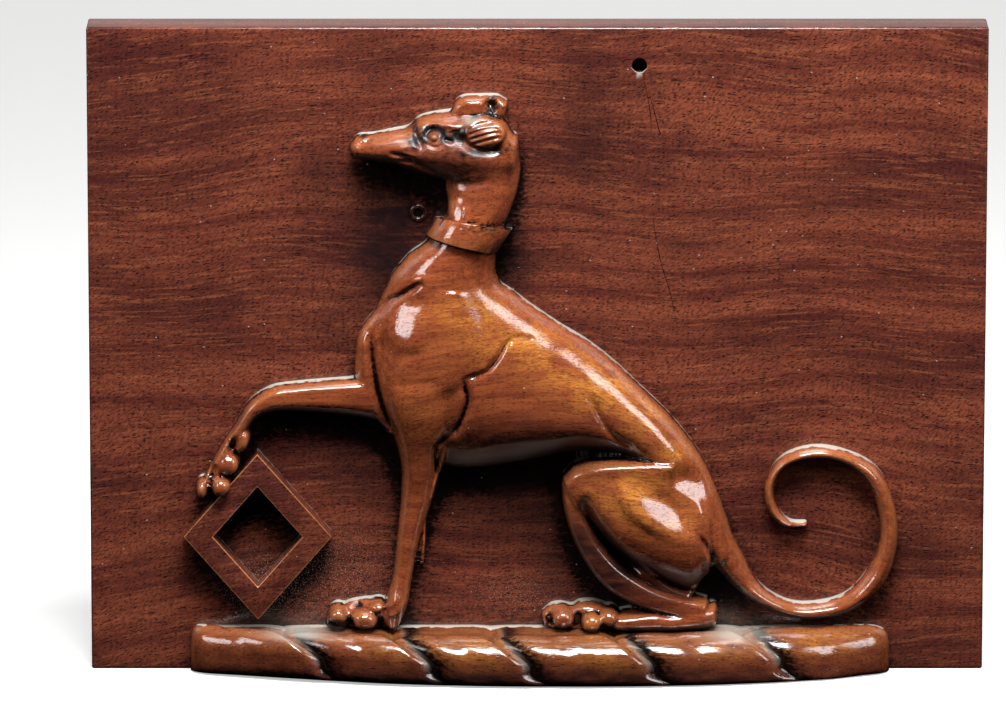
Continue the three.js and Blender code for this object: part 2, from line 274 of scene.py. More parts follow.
tendon = limb([
    [-38.8, 53, -37.6, 53, 5],
    [-39.6, 45, -38.0, 45, 6.2],
    [-40.2, 38, -38.6, 38, 5.5],
], cap=0.8)
paw = limb([
    [-50, 24.5, -50, 15.5, 10.5],
    [-56, 25.8, -56, 15, 11],
    [-62, 25.4, -62, 15, 10.5],
    [-67, 23.4, -67, 15.3, 9],
    [-71.3, 20.0, -71.3, 16, 7],
], fullness=(0.6, 0.3))
raised_leg = limb([
    [-46, 104, -46, 86, 10],
    [-62, 102.8, -62, 89, 10.5],
    [-72, 102.0, -72, 90.3, 10.5],
    [-82.5, 101.0, -82.5, 91, 10.5],
    [-90.5, 99.6, -89.8, 91, 11],
    [-97.5, 95, -95.0, 89.2, 11.5],
    [-102.8, 87, -99.3, 83.5, 11.5],
    [-108.4, 78.2, -103.6, 75.3, 11.5],
    [-112.2, 71.2, -106.5, 69.3, 11],
    [-114.3, 66.0, -108, 64.8, 10],
], fullness=(3.5, 0.3), cap=0.3)
print("foreleg, raised leg and paw laid out")

# %% Haunch, hind foot and tail
thigh = limb([
    [9.5, 70, 10, 62, 14],
    [12.5, 73, 13.5, 56, 16.5],
    [18, 75, 19, 49, 18.3],
    [26, 76, 26.5, 41.6, 19.5],
    [35, 76.5, 35.5, 35, 20.2],
    [44.5, 76.3, 44.5, 31, 20.3],
    [53, 72, 52.5, 29.5, 19.3],
    [58, 62, 58, 34, 16.5],
], fullness=(1.0, 0.3), cap=0.15)
thigh_top = limb([
    [9.3, 69.5, 13.5, 59, 15.3],
    [12.8, 73.2, 16.5, 61, 16.8],
    [21.3, 75.6, 22, 62.5, 17.8],
    [34.9, 76.7, 35, 63, 18.5],
    [46, 76.4, 46, 64, 18.3],
], fullness=(4.0, 0.3), cap=0.2)
shin = limb([
    [8.2, 66.5, 15.5, 67.5, 14],
    [8.6, 60, 16.5, 61.5, 14.5],
    [10.2, 52.5, 19, 55, 14.5],
    [13.2, 44.5, 22.8, 48, 14],
    [18.5, 35.5, 28, 41, 13.8],
    [25.5, 28.3, 33.5, 36, 13.5],
    [35, 23.5, 40.5, 31.5, 13],
    [45, 20.5, 48.5, 28.5, 12.5],
    [56, 18.5, 57.5, 26.5, 12],
], fullness=(1.5, 1.5))
hock_hollow = limb([
    [13.5, 64, 21, 63, 8],
    [13.5, 56, 25, 61, 9.5],
    [18, 47, 29, 53, 10],
    [24, 39, 34, 46, 10],
    [31, 33, 40, 40, 10],
    [40, 28, 46, 36, 9.5],
    [50, 25, 55, 34, 9],
], fullness=(1.0, 1.0))
foot = limb([
    [60.2, 24.8, 59.8, 15.5, 11],
    [56, 24.5, 56, 15, 12.5],
    [47, 22.6, 47, 14.6, 13],
    [40, 23.4, 40, 14.5, 13.5],
    [33, 22.6, 33, 14.5, 13.5],
    [27.5, 21.6, 27.5, 15, 13],
    [25.8, 20, 25.8, 16.5, 12],
], fullness=(0.8, 0.4))
toe_base = limb([
    [26, 22, 26, 14.5, 10],
    [16, 22.5, 16, 14.5, 10],
    [8, 22, 7, 14.5, 9],
    [3.3, 20.5, 3, 15.5, 7.5],
], fullness=(0.3, 0.3))
far_foot = limb([
    [25, 23, 25, 19, 8],
    [22, 24.4, 22, 19, 9],
    [18.5, 25.2, 18.5, 19, 9.5],
    [14.5, 24.9, 14.5, 19, 9.5],
    [11.8, 23.6, 11.8, 19, 8.6],
    [8, 24.3, 8, 18.5, 8.8],
    [4.5, 23.6, 4.5, 18.5, 8],
    [2.2, 21.6, 2.4, 17.5, 6.5],
], fullness=(0.8, 0.5))
tail = limb([
    [61.5, 62, 49, 50, 13],
    [66.5, 49, 56, 42, 12],
    [70.3, 41.5, 61.5, 35.5, 10.8],
    [75.6, 31.4, 69.4, 27.6, 9.2],
    [84.5, 25.3, 81, 21, 8.5],
    [94, 24.2, 93, 18.2, 8.5],
    [105.4, 27.4, 107, 20.7, 8.5],
    [113.1, 36.2, 118.6, 30.3, 8.5],
    [116.8, 46.7, 123.3, 45.3, 8.5],
    [115.7, 58, 121.8, 59.3, 8],
    [111, 67.5, 116, 71.2, 8],
    [103.5, 73, 106, 77, 7.5],
    [94.4, 74.3, 94.4, 79, 7.5],
    [86, 72.2, 83.5, 75.4, 7.5],
    [81.5, 67, 78, 67.2, 7],
    [81, 61, 77.5, 60, 7],
    [83, 56.2, 80.4, 53.4, 6.5],
    [86.5, 53, 85, 50.4, 6],
    [91.5, 52.6, 91.5, 50.2, 4],
], cap=0.8)
print("haunch, hind foot and tail laid out")

# %% The forms put together
for form, soft in [
    (body, 0), (far_chest, 1.0), (neck, 3.0), (skull, 3.5), (far_ear, 0.4), (raised_leg, 1.0),
    (shoulder, 1.6), (foreleg, 0), (elbow, 0.2), (tendon, 0.2), (tail, 3.0), (hock_hollow, 1.0), (shin, 0.6),
    (thigh, 1.6), (thigh_top, 1.2), (far_foot, 0.3), (toe_base, 0.5), (foot, 0.8), (paw, 1.0),
]:
    plan = join(plan, form, soft) if soft else np.maximum(plan, form)
print("the figure covers", round(np.sum(plan > 0) * CELL**2 / 100), "square centimetres")

# %% [markdown]
# ## Toes, ear and eye
# Small rounded knobs are set on the forms. Each is part of a ball that stands on the wood round it, and
# its rim drops straight to the ground where it overhangs the figure's outline.

# %% Knobs
WALL_SHARE = 0.15
KNOB_REACH = 1.4


def across_and_up(x, z, centre, tilt):
    """Distances from a centre, along two axes that are turned by a tilt in degrees."""
    turn = math.radians(tilt)
    across = (x - centre[0]) * math.cos(turn) + (z - centre[1]) * math.sin(turn)
    up = (z - centre[1]) * math.cos(turn) - (x - centre[0]) * math.sin(turn)
    return across, up


def knob(centre, radii, stands, rise, tilt=0.0, soft=0.3):
    """Adds an oval knob that rises further from the height at which it stands."""
    cells, x, z = window([centre], KNOB_REACH * max(radii))
    across, up = across_and_up(x, z, centre, tilt)
    rim = np.hypot(across / radii[0], up / radii[1])
    top = (stands + rise * np.sqrt(np.maximum(0, 1 - rim**2))) ** 2
    wall = stands**2 * (1 - (rim - 1) / WALL_SHARE)
    plan[cells] = join(plan[cells], np.where(rim < 1, top, np.maximum(wall, OUTSIDE)), soft)


for centre, radii, stands, rise, tilt in [
    ((-59.0, 20.0), (4.6, 3.2), 12.2, 3.2, -8),
    ((-67.9, 20.7), (3.0, 3.2), 10.3, 3.0, 0),
    ((-54.9, 24.0), (2.6, 1.8), 10.8, 1.6, 20),
    ((-107.8, 66.4), (3.4, 3.2), 12.0, 3.0, 0),
    ((-114.0, 65.0), (1.9, 3.0), 9.6, 2.8, 0),
    ((-105.2, 73.8), (3.6, 3.8), 9.8, 2.8, -20),
    ((-100.4, 82.0), (2.4, 3.9), 9.8, 2.4, -15),
    ((24.3, 20.4), (3.4, 2.8), 11.8, 2.6, 0),
    ((18.7, 19.0), (3.6, 3.1), 12.6, 3.2, 0),
    ((8.8, 20.0), (3.6, 3.2), 10.6, 3.0, 0),
]:
    knob(centre, radii, stands, rise, tilt)
print("knobs set, highest point", round(math.sqrt(plan.max()), 1), "mm")

# %% [markdown]
# ## Cuts and swellings
# With the forms roughed out, a carver comes back with small gouges and cuts the lines between them: the
# mouth, the stop in front of the eye, the creases of the shoulder and the haunch. A cut follows a curve,
# is deepest along it and fades out at both ends. One flank can be steep and the other long, which makes
# one form seem to pass under its neighbour. A swelling is the opposite, a low mound for a muscle.

# %% Cutting tools
def lower(square, amount):
    """The plan's squared heights with some wood taken off, or put on where the amount is negative."""
    height = np.sqrt(np.maximum(square, 0))
    fade = np.clip(height / 3, 0, 1)
    left = np.maximum(height - amount * np.where(amount < 0, fade, 1), 0.2 * height)
    return np.where(square > 0, left**2, square)


def cut(points, width, depth, lean=0.0, ends=(0.25, 0.25)):
    """Cuts a groove along a curve. A lean towards 1 makes its left flank long and its right one steep."""
    path = curve(points, 6)
    cells, x, z = window(path, 3 * width * (1 + abs(lean)))
    nearest = np.full(x.shape, 1e9)
    profile = np.zeros(x.shape)
    length = np.concatenate([[0], np.cumsum(np.hypot(*np.diff(path, axis=0).T))])
    for (ax, az), (bx, bz), start, end in zip(path, path[1:], length, length[1:]):
        run = max(math.hypot(bx - ax, bz - az), 1e-6)
        t = np.clip(((x - ax) * (bx - ax) + (z - az) * (bz - az)) / run**2, 0, 1)
        gap = np.hypot(x - ax - t * (bx - ax), z - az - t * (bz - az))
        side = np.sign((bx - ax) * (z - az) - (bz - az) * (x - ax))
        share = (start + t * (end - start)) / length[-1]
        fade = np.clip(share / ends[0], 0, 1) * np.clip((1 - share) / ends[1], 0, 1)
        made = depth * np.sin(fade * math.pi / 2) * np.exp(-((gap / (width * (1 + lean * side))) ** 2))
        profile = np.where(gap < nearest, made, profile)
        nearest = np.minimum(gap, nearest)
    plan[cells] = lower(plan[cells], profile)


def swell(centre, radii, height, tilt=0.0):
    """Raises a soft oval mound, or sinks a hollow where the height is negative."""
    cells, x, z = window([centre], 2.2 * max(radii))
    across, up = across_and_up(x, z, centre, tilt)
    plan[cells] = lower(plan[cells], -height * np.exp(-((across / radii[0]) ** 2 + (up / radii[1]) ** 2)))


PARED_FULLY, PARED_TO = 0.4, 1.5
PARED_SHARE = 0.9


def pare(centre, radii, stands, slope_x, slope_z, tilt=0.0):
    """Pares an oval of the surface flat, down or up to a sloping plane, with a soft rim."""
    cells, x, z = window([centre], PARED_TO * max(radii))
    across, up = across_and_up(x, z, centre, tilt)
    rim = np.hypot(across / radii[0], up / radii[1])
    share = np.clip((PARED_TO - rim) / (PARED_TO - PARED_FULLY), 0, 1)
    share = PARED_SHARE * share * share * (3 - 2 * share)
    height = np.sqrt(np.maximum(plan[cells], 0))
    plane = stands + slope_x * (x - centre[0]) + slope_z * (z - centre[1])
    plan[cells] = lower(plan[cells], share * (height - plane))


print("tools ready: cut, swell and pare")

# %% Flats of the haunch, the neck and the chest
pare((50.2, 65.2), (9.0, 7.5), 15.2, -0.50, -0.49)
pare((42.4, 59.2), (13.5, 6.2), 19.0, -0.49, -0.48, -30)
pare((-27.2, 161.5), (3.4, 4.6), 14.6, 0.52, -0.46)
pare((-45.2, 123.0), (7.0, 7.0), 18.2, 0.46, -0.42, 20)
for points in [
    [(-52.5, 119.5), (-49.5, 121.3), (-46.5, 122.6)],
    [(-52.0, 121.6), (-48.5, 123.8), (-45.5, 125.0)],
    [(-50.5, 124.4), (-47.5, 126.2), (-44.0, 127.2)],
    [(-51.5, 117.3), (-49.0, 118.6), (-46.0, 119.4)],
]:
    cut(points, 0.7, 0.16)
print("flats pared")

# %% Creases of the body
for points, width, depth, lean in [
    ([(-38, 137.3), (-40.7, 137.3), (-46.5, 133.1), (-49.9, 131.1), (-54.9, 125.5)], 1.0, 1.9, 0.2),
    ([(-7.6, 119), (-10.6, 117), (-13, 112.8), (-16.7, 108.3), (-21.1, 106.2), (-25.8, 105.2)], 0.9, 1.5, 0),
    ([(-1.0, 118.0), (-5.0, 118.9), (-8.8, 118.9)], 0.6, 0.5, 0.0),
    ([(-24.6, 105.8), (-24.6, 102), (-23.8, 98.2), (-24.9, 93.3), (-26.9, 88.5), (-29.8, 84.4)],
     1.2, 2.6, 0.2),
    ([(-56.9, 122), (-56.3, 116.1), (-55.7, 110.2), (-54.4, 100.5), (-51.7, 91.9), (-48.6, 84.5)],
     1.4, 2.8, -0.2),
    ([(18.5, 98.6), (20.6, 93.8), (26.3, 85.1), (34.8, 79.2)], 4.0, 1.0, 0.0),
    ([(15.5, 99.3), (18.5, 97.0), (20.9, 92.2), (24, 87), (28, 83.1), (33.5, 80.4)], 1.1, 1.1, 0.2),
    ([(15.6, 65), (16.4, 60), (18.5, 54.5), (22.8, 47.2), (28.5, 40.8), (36, 35.4)], 2.2, 4.0, 0.2),
    ([(35.7, 40.9), (40.1, 36.3), (46.9, 31.1), (55.5, 28.3)], 1.0, 2.2, 0.0),
    ([(54.0, 51.8), (56.7, 47.8), (59.6, 42.8), (61.8, 37.5)], 0.9, 1.5, 0.0),
    ([(56.3, 40.8), (57.6, 38.2), (58.3, 35.5)], 0.6, 0.8, 0.0),
    ([(-29.3, 85.5), (-31.9, 83.4), (-34.4, 80.5), (-34.6, 76), (-34.2, 70), (-34.8, 66.5)], 0.9, 2.6, 0.0),
    ([(-50, 103), (-44, 103.6), (-38, 104.4), (-33, 105)], 1.6, 0.5, 0.0),
]:
    cut(points, width, depth, lean)
print("body creased")

# %% Head
# Socket of the eye, hollow behind it, dip in front of it, and cheek
swell((-35.0, 188.6), (3.5, 2.9), -3.0)
swell((-27.6, 188.2), (2.3, 3.4), -2.0, 10)
swell((-44.0, 184.5), (5.0, 2.5), -0.5, 15)
swell((-24.0, 178.5), (7.0, 4.0), 0.5)
# Mouth, lip and cheekbone
cut([(-50.4, 182.2), (-46.4, 181.5), (-41.7, 179.8), (-38, 177.1), (-33.9, 174.3)], 0.8, 2.2, -0.3)
cut([(-48.1, 179.4), (-42.3, 178.5), (-39.3, 176.6)], 0.6, 1.6)
cut([(-47.5, 183.9), (-42.6, 184.2), (-39.0, 184.2)], 0.8, -0.5)
# Nostril
cut([(-61.9, 186.1), (-59.9, 185.0), (-57.9, 185.2), (-56.2, 186.4)], 0.6, 1.5)
# Stop, from the brow down in front of the eye
cut([(-42.2, 192.0), (-41.1, 188.8), (-40.0, 186.1), (-37.9, 183.4)], 1.3, 2.4, 0.0, (0.1, 0.4))
# Throat under the jaw
cut([(-34.0, 173.3), (-29.5, 171.9), (-24.5, 171.4), (-19.4, 171.9), (-15.3, 173.5)], 1.4, 0.8)
# Brow
brow = [(-39.9, 191.8), (-38.3, 192.8), (-35.6, 193.1), (-32.5, 192.6), (-29.5, 191.9), (-26.1, 190.5)]
cut(brow, 1.1, -1.1)
# Eyeball, upper lid, corner and lower lid
knob((-34.9, 187.3), (2.0, 1.9), 11.0, 2.8, 0, 0.1)
cut([(-38.4, 187.0), (-37.2, 189.2), (-34.9, 190.2), (-32.6, 189.4), (-31.6, 187.4)], 0.6, 1.6)
cut([(-31.8, 187.2), (-30.0, 186.6), (-28.4, 186.0)], 0.6, 1.4)
cut([(-37.4, 186.0), (-36.1, 184.7), (-33.8, 184.4), (-31.7, 185.7)], 0.5, 0.9)
print("face cut")

# %% Ears
# The near ear lies folded back: a knob with a cut round its root and four ridges of hair
knob((-17.8, 189.2), (7.0, 4.9), 14.2, 2.4, -4, 0.25)
cut([(-25.3, 189.0), (-23.0, 185.4), (-19.4, 183.8), (-15.3, 183.5), (-11.4, 185.4)], 1.3, 2.2, -0.4)
swell((-18.6, 193.0), (4.6, 1.2), -1.8, 4)
for points, depth in [
    ([(-24.2, 190.2), (-20.3, 191.9), (-16, 192.5), (-12.8, 191.9)], 0.9),
    ([(-23.8, 188.5), (-19.8, 190.3), (-15.6, 191.1), (-12.4, 190.8)], 1.1),
    ([(-23.4, 187.0), (-19.0, 188.6), (-15.1, 189.6), (-11.7, 189.5)], 1.1),
    ([(-22.4, 185.5), (-17.9, 186.9), (-13.8, 187.9), (-11.8, 188.1)], 1.0),
]:
    cut(points, 0.5, depth, 0.0, (0.15, 0.15))
# The far ear stands up, with a hole in its shell and a rolled tip
swell((-15.9, 197.8), (2.0, 3.0), -4.5, 0)
cut([(-13.9, 200.6), (-11.9, 199.6), (-11.2, 198.2), (-12.4, 196.6)], 0.8, -0.8)
print("ears cut")

# %% Gaps between the toes, claws and the lines of the paws
for centre, radii, depth, tilt in [
    ((-68.6, 17.6), (2.4, 1.7), 5.0, 0),
    ((-63.6, 18.4), (1.2, 2.4), 5.0, 0),
    ((-60.9, 24.2), (2.2, 1.2), 4.0, 8),
    ((-53.4, 18.0), (1.2, 2.6), 4.0, 0),
    ((13.9, 18.8), (1.2, 2.5), 5.0, 0),
    ((4.3, 18.7), (1.1, 2.0), 4.0, 0),
    ((22.6, 17.0), (1.2, 1.5), 3.5, 0),
    ((-103.7, 80.4), (1.1, 2.4), 4.5, -20),
]:
    swell(centre, radii, -depth, tilt)
for points, width, rise in [
    ([(-65.2, 16.3), (-65.4, 19.5), (-63.8, 22.4)], 0.45, 1.0),
    ([(-71.2, 17.0), (-71.5, 19.6), (-70.2, 22.4)], 0.45, 0.8),
    ([(-63.6, 25.2), (-60.9, 26.0), (-58.0, 25.2)], 0.5, 0.8),
    ([(12.0, 16.5), (11.9, 19.0), (13.2, 21.6)], 0.45, 1.0),
    ([(2.8, 17.0), (2.6, 19.5), (3.6, 21.6)], 0.45, 0.8),
    ([(-46.6, 28.5), (-50.0, 25.2), (-56.0, 22.8)], 1.3, 1.0),
    ([(-44.8, 26.5), (-47.6, 23.0), (-51.5, 21.0)], 1.3, 1.0),
]:
    cut(points, width, -rise)
# Toes of the raised paw
for points, width, depth in [
    ([(-109.8, 74.5), (-110.9, 70.5), (-111.2, 65.4), (-111.0, 61.4)], 1.1, 4.5),
    ([(-111.6, 75.5), (-113.4, 71.5), (-114.6, 68.2)], 0.6, -0.8),
]:
    cut(points, width, depth)
print("toes and claws cut")

# %% Gouge marks and polish
WAVE_LENGTH = 2.2
WAVE_DEPTH = 0.05
POLISH = 0.3
waves = blur(np.random.default_rng(7).normal(size=plan.shape), WAVE_LENGTH / CELL)
plan = lower(plan, WAVE_DEPTH * waves / waves.std())
plan = blur(plan, POLISH / CELL)
print("plan finished, highest point", round(math.sqrt(plan.max()), 1), "mm")

# %% [markdown]
# ## From plan to wood
# The plan becomes a mesh in four steps. A grid over the figure is raised to the planned heights and
# pulled down into the board as a block. A voxel remesh gives it even faces all over, walls too. Then
# each vertex slides straight onto the planned surface, and smoothing between the slides keeps the faces
# even. Last, the faces are split where an edge still cuts a corner of the plan, which happens in the
# face, the paws and the creases, so that the fine cuts get fine faces and the broad flanks stay light.

# %% Sliding onto the planned surface
BASE_DEPTH = 3.0
plan_slope_z, plan_slope_x = np.gradient(plan, CELL)


def between_cells(field, column, row):
    """A field's values at places between the middles of its cells."""
    column = np.clip(column, 0, field.shape[1] - 1.001)
    row = np.clip(row, 0, field.shape[0] - 1.001)
    c, r = column.astype(int), row.astype(int)
    u, v = column - c, row - r
    near = field[r, c] * (1 - u) + field[r, c + 1] * u
    far = field[r + 1, c] * (1 - u) + field[r + 1, c + 1] * u
    return near * (1 - v) + far * v


def read(field, x, z):
    """The plan's values, or its slopes, at points in millimetres."""
    return between_cells(field, (x - PLAN_LEFT) / CELL, (z - PLAN_LOW) / CELL)


def places(bm):
    """Every vertex as x, height over the ground, and z in millimetres."""
    co = np.array([v.co for v in bm.verts]) / MM
    return co[:, 0], GROUND_Y / MM - co[:, 1], co[:, 2]


def miss(x, proud, z):
    """How far points lie below the planned surface in millimetres, and the steepest way up to it."""
    above = np.maximum(proud, 0)
    slope_x, slope_z = read(plan_slope_x, x, z), read(plan_slope_z, x, z)
    steep = np.sqrt(slope_x**2 + slope_z**2 + 4 * above**2) + 1e-6
    return (read(plan, x, z) - above**2) / steep, slope_x / steep, -2 * above / steep, slope_z / steep


def slide(bm, rounds=4, longest=0.6):
    """Moves the vertices above the base onto the surface where height squared meets the plan."""
    x, proud, z = places(bm)
    moving = proud > 0.2 - BASE_DEPTH
    for _ in range(rounds):
        below, way_x, way_out, way_z = miss(x, proud, z)
        step = np.where(moving, np.clip(below, -longest, longest), 0)
        x, proud, z = x - step * way_x, proud - step * way_out, z - step * way_z
    for vert, *co in zip(bm.verts, x, GROUND_Y / MM - proud, z):
        vert.co = Vector(co) * MM


def relax(bm, factor=0.5):
    """Moves each vertex some way towards the middle of its neighbours."""
    bmesh.ops.smooth_vert(
        bm, verts=bm.verts[:], factor=factor, use_axis_x=True, use_axis_y=True, use_axis_z=True
    )


print("the plan climbs by up to", round(float(np.abs(plan_slope_x).max())), "square mm in a mm")

# %% The block
VOXEL = 1.1 * MM


def mesh_object(name, bm):
    """A new object of the mesh bm, linked to the scene."""
    data = bpy.data.meshes.new(name)
    bm.to_mesh(data)
    bm.free()
    made = bpy.data.objects.new(name, data)
    bpy.context.scene.collection.objects.link(made)
    return made


def apply_modifiers(made):
    """Bakes an object's modifiers into its mesh."""
    shown = made.evaluated_get(bpy.context.evaluated_depsgraph_get())
    data = bpy.data.meshes.new_from_object(shown)
    made.modifiers.clear()
    made.data = data


def block_of_the_plan():
    """A block whose front stands as high as the plan says and whose back lies inside the board."""
    across, up = PLAN_RIGHT - PLAN_LEFT, PLAN_TOP - PLAN_LOW
    middle = Vector(((PLAN_LEFT + PLAN_RIGHT) / 2, 0, (PLAN_LOW + PLAN_TOP) / 2)) * MM
    place = Matrix.Translation(middle + Vector((0, GROUND_Y, 0)))
    turn = Matrix.Rotation(math.radians(90), 4, "X")
    size = Matrix.Diagonal((across * MM / 2, up * MM / 2, 1, 1))
    bm = bmesh.new()
    bmesh.ops.create_grid(bm, x_segments=int(across), y_segments=int(up), size=1, matrix=place @ turn @ size)
    x, _, z = places(bm)
    square = read(plan, x, z)
    for vert, value in zip(bm.verts, square):
        vert.co.y = GROUND_Y - math.sqrt(max(value, 0)) * MM
    bare = [f for f in bm.faces if all(square[v.index] <= 0 for v in f.verts)]
    bmesh.ops.delete(bm, geom=bare, context="FACES")
    sunk = bmesh.ops.extrude_face_region(bm, geom=bm.faces[:], use_keep_orig=True)
    for vert in sunk["geom"]:
        if isinstance(vert, bmesh.types.BMVert):
            vert.co.y = GROUND_Y + BASE_DEPTH * MM
    bmesh.ops.recalc_face_normals(bm, faces=bm.faces[:])
    return mesh_object("greyhound", bm)


hound = block_of_the_plan()
remesh = hound.modifiers.new("Even faces", "REMESH")
remesh.mode = "VOXEL"
remesh.voxel_size = VOXEL
apply_modifiers(hound)
print("block remeshed:", len(hound.data.polygons), "faces")

# %% The hound
SLIDE_ROUNDS = 4
SPLIT_ROUNDS = 2
CORNER_CUT = 0.03
ROOT_DEPTH = 1.0


def split_corners(bm):
    """Splits the faces that have an edge whose middle misses the planned surface by too much."""
    x, proud, z = places(bm)
    ends = np.array([[v.index for v in e.verts] for e in bm.edges])
    halfway = [(c[ends[:, 0]] + c[ends[:, 1]]) / 2 for c in (x, proud, z)]
    off = np.abs(miss(*halfway)[0])
    rough = [e for e, d in zip(bm.edges, off) if d > CORNER_CUT and min(proud[v.index] for v in e.verts) > -1]
    around = {e for r in rough for f in r.link_faces for e in f.edges}
    bmesh.ops.subdivide_edges(bm, edges=list(around), cuts=1, use_grid_fill=True)
    bm.verts.index_update()


def carve(made):
    """Brings the block's faces onto the plan and cuts its back flat, a little below the ground."""
    bm = bmesh.new()
    bm.from_mesh(made.data)
    for _ in range(SLIDE_ROUNDS):
        slide(bm)
        relax(bm)
    slide(bm, 8)
    for _ in range(SPLIT_ROUNDS):
        split_corners(bm)
        slide(bm, 8)
        relax(bm, 0.3)
        slide(bm, 8)
    root = Vector((0, GROUND_Y + ROOT_DEPTH * MM, 0))
    everything = bm.verts[:] + bm.edges[:] + bm.faces[:]
    sawn = bmesh.ops.bisect_plane(bm, geom=everything, plane_co=root, plane_no=(0, 1, 0), clear_outer=True)
    rim = [e for e in sawn["geom_cut"] if isinstance(e, bmesh.types.BMEdge)]
    bmesh.ops.holes_fill(bm, edges=rim, sides=0)
    bm.to_mesh(made.data)
    bm.free()


carve(hound)
print("hound carved:", len(hound.data.polygons), "faces")

# %% [markdown]
# ## The torse
# Under the crest lies a torse, the twisted bar of cloth that heralds draw below a beast. Here it is a
# ledge with a rolled front, bowed towards the viewer in its middle. A cylinder is a good start, because
# its rings become the sections of the ledge and its long lines run along it. Each vertex is placed by
# how far along it is and how far round. The grooves slant over the roll: each strand starts steeply out
# of a groove, swells, and ends in a lip over a short ramp that leads down to the next groove.

# %% Torse
TORSE_LENGTH = 239.0
TORSE_X = 1.0
TORSE_HEIGHT = 16.5
TORSE_PROUD = 30.0
TORSE_END_PROUD = 8.5
TORSE_ROLL = 11.0
TORSE_TWIST = 26.0
TORSE_BOW = 2.4
ROLL_SHARE = 0.72
ROLL_BELOW = 5
ROLL_ABOVE = 2.2
END_SHARE = 0.05
END_LEFT = 0.45
GROOVES_X = [-74.5, -37.0, -3.5, 38.5, 82.0]
GROOVE_DEPTH = 3.0
GROOVE_RAMP = 5.0
GROOVE_SWELL = 11.0
FURROWS_X = [-99.0, -55.0, -21.0, 16.0, 58.0, 101.0]
FURROW_DEPTH = 0.35
FURROW_WIDTH = 3.5
CHANNEL_DEPTH = 0.9


def signed_power(value, exponent):
    """A power that keeps the sign, which makes a circle squarer or more pointed."""
    return np.sign(value) * np.abs(value) ** exponent


def groove_depth(x):
    """How deep the grooves are cut at places along the bar."""
    depth = np.zeros(x.shape)
    for start in GROOVES_X:
        past = x - start
        swelling = 1 - np.sqrt(np.maximum(0, 1 - (1 - np.clip(past / GROOVE_SWELL, 0, 1)) ** 2))
        ramp = np.clip(1 + past / GROOVE_RAMP, 0, 1) ** 1.3
        depth = np.maximum(depth, GROOVE_DEPTH * np.where(past > 0, swelling, ramp))
    for middle in FURROWS_X:
        depth = depth + FURROW_DEPTH * np.exp(-(((x - middle) / FURROW_WIDTH) ** 2))
    return depth


def twist(angle, from_end):
    """How far round the roll carries a groove along the bar, less and less near the bar's ends."""
    return angle / math.pi * TORSE_TWIST * np.minimum(1, 4 * from_end)


def make_torse(sides=60, rows=250):
    """The bar from a cylinder, whose front lines roll over the bar and whose back lines lie inside it."""
    bm = bmesh.new()
    bmesh.ops.create_cone(bm, cap_ends=True, segments=sides, radius1=1, radius2=1, depth=2)
    lengthwise = [e for e in bm.edges if abs(e.verts[0].co.z - e.verts[1].co.z) > 1]
    bmesh.ops.subdivide_edges(bm, edges=lengthwise, cuts=rows - 1)
    co = np.array([v.co for v in bm.verts])
    share = co[:, 2]
    turn = np.arctan2(co[:, 0], co[:, 1]) / math.pi
    angle = np.clip(turn / ROLL_SHARE, -1, 1) * math.pi / 2
    back = np.maximum(0, np.abs(turn) - ROLL_SHARE) / (1 - ROLL_SHARE)
    squared = np.where(angle < 0, ROLL_BELOW, ROLL_ABOVE)
    up = signed_power(np.sin(angle), 2 / squared)
    out = np.maximum(0, np.cos(angle)) ** (2 / squared)
    end = np.clip((np.abs(share) - (1 - END_SHARE)) / END_SHARE, 0, 1)
    rounding = END_LEFT + (1 - END_LEFT) * np.sqrt(1 - end**2)
    bow = 1 - np.abs(share) ** TORSE_BOW
    reach = (TORSE_END_PROUD + (TORSE_PROUD - TORSE_END_PROUD) * bow) * rounding
    roll = np.minimum(TORSE_ROLL, 0.8 * reach)
    along = share * TORSE_LENGTH / 2
    slant = twist(angle, 1 - np.abs(share))
    fade = np.minimum(1, 2 * (1 + up)) * (1 - back) * np.clip((1 - np.abs(share)) * 30, 0, 1)
    dip = groove_depth(along) * fade
    front = reach - roll + (roll - dip) * out
    proud = front - (front + BASE_DEPTH) * back
    half = TORSE_HEIGHT / 2
    channel = CHANNEL_DEPTH * np.clip(back * 8, 0, 1) * (turn > 0)
    z = half + up * half * np.where(up > 0, rounding, 1) - np.maximum(0, up) * dip - channel
    for vert, *place in zip(bm.verts, TORSE_X + along - slant, GROUND_Y / MM - proud, z):
        vert.co = Vector(place) * MM
    return mesh_object("torse", bm)


torse = make_torse()
print("torse:", len(torse.data.polygons), "faces")

# %% [markdown]
# ## Mascle, collar and ring
# The mascle is a lozenge with its middle cut out: a flat frame with crisp arrises. Four vertices make
# the lozenge, an inset makes the bars, and the ring of faces that is left is pulled out of the board. A
# bevel softens its edges as polish does. The collar is a band of sections bridged into one another,
# bevelled along its two rims. The little ring in front of it is a circle spun round.

# %% Mascle
MASCLE_WIDTH = 50.6
MASCLE_HEIGHT = 58.0
MASCLE_BAR = 7.6
MASCLE_PROUD = 9.5
MASCLE_X = -95.2
MASCLE_CLEARANCE = 3.0
MASCLE_ARRIS = 0.45
MASCLE_Z = TORSE_HEIGHT + MASCLE_CLEARANCE + MASCLE_HEIGHT / 2


def on_board(x, proud, z):
    """A point of the drawing in metres, so many millimetres proud of the ground."""
    return Vector((x * MM, GROUND_Y - proud * MM, z * MM))


def soften_edges(bm, edges, width, segments=2):
    """Takes the edges off, so many millimetres wide."""
    bmesh.ops.bevel(
        bm, geom=edges, offset=width * MM, segments=segments, profile=0.5, affect="EDGES", material=-1
    )


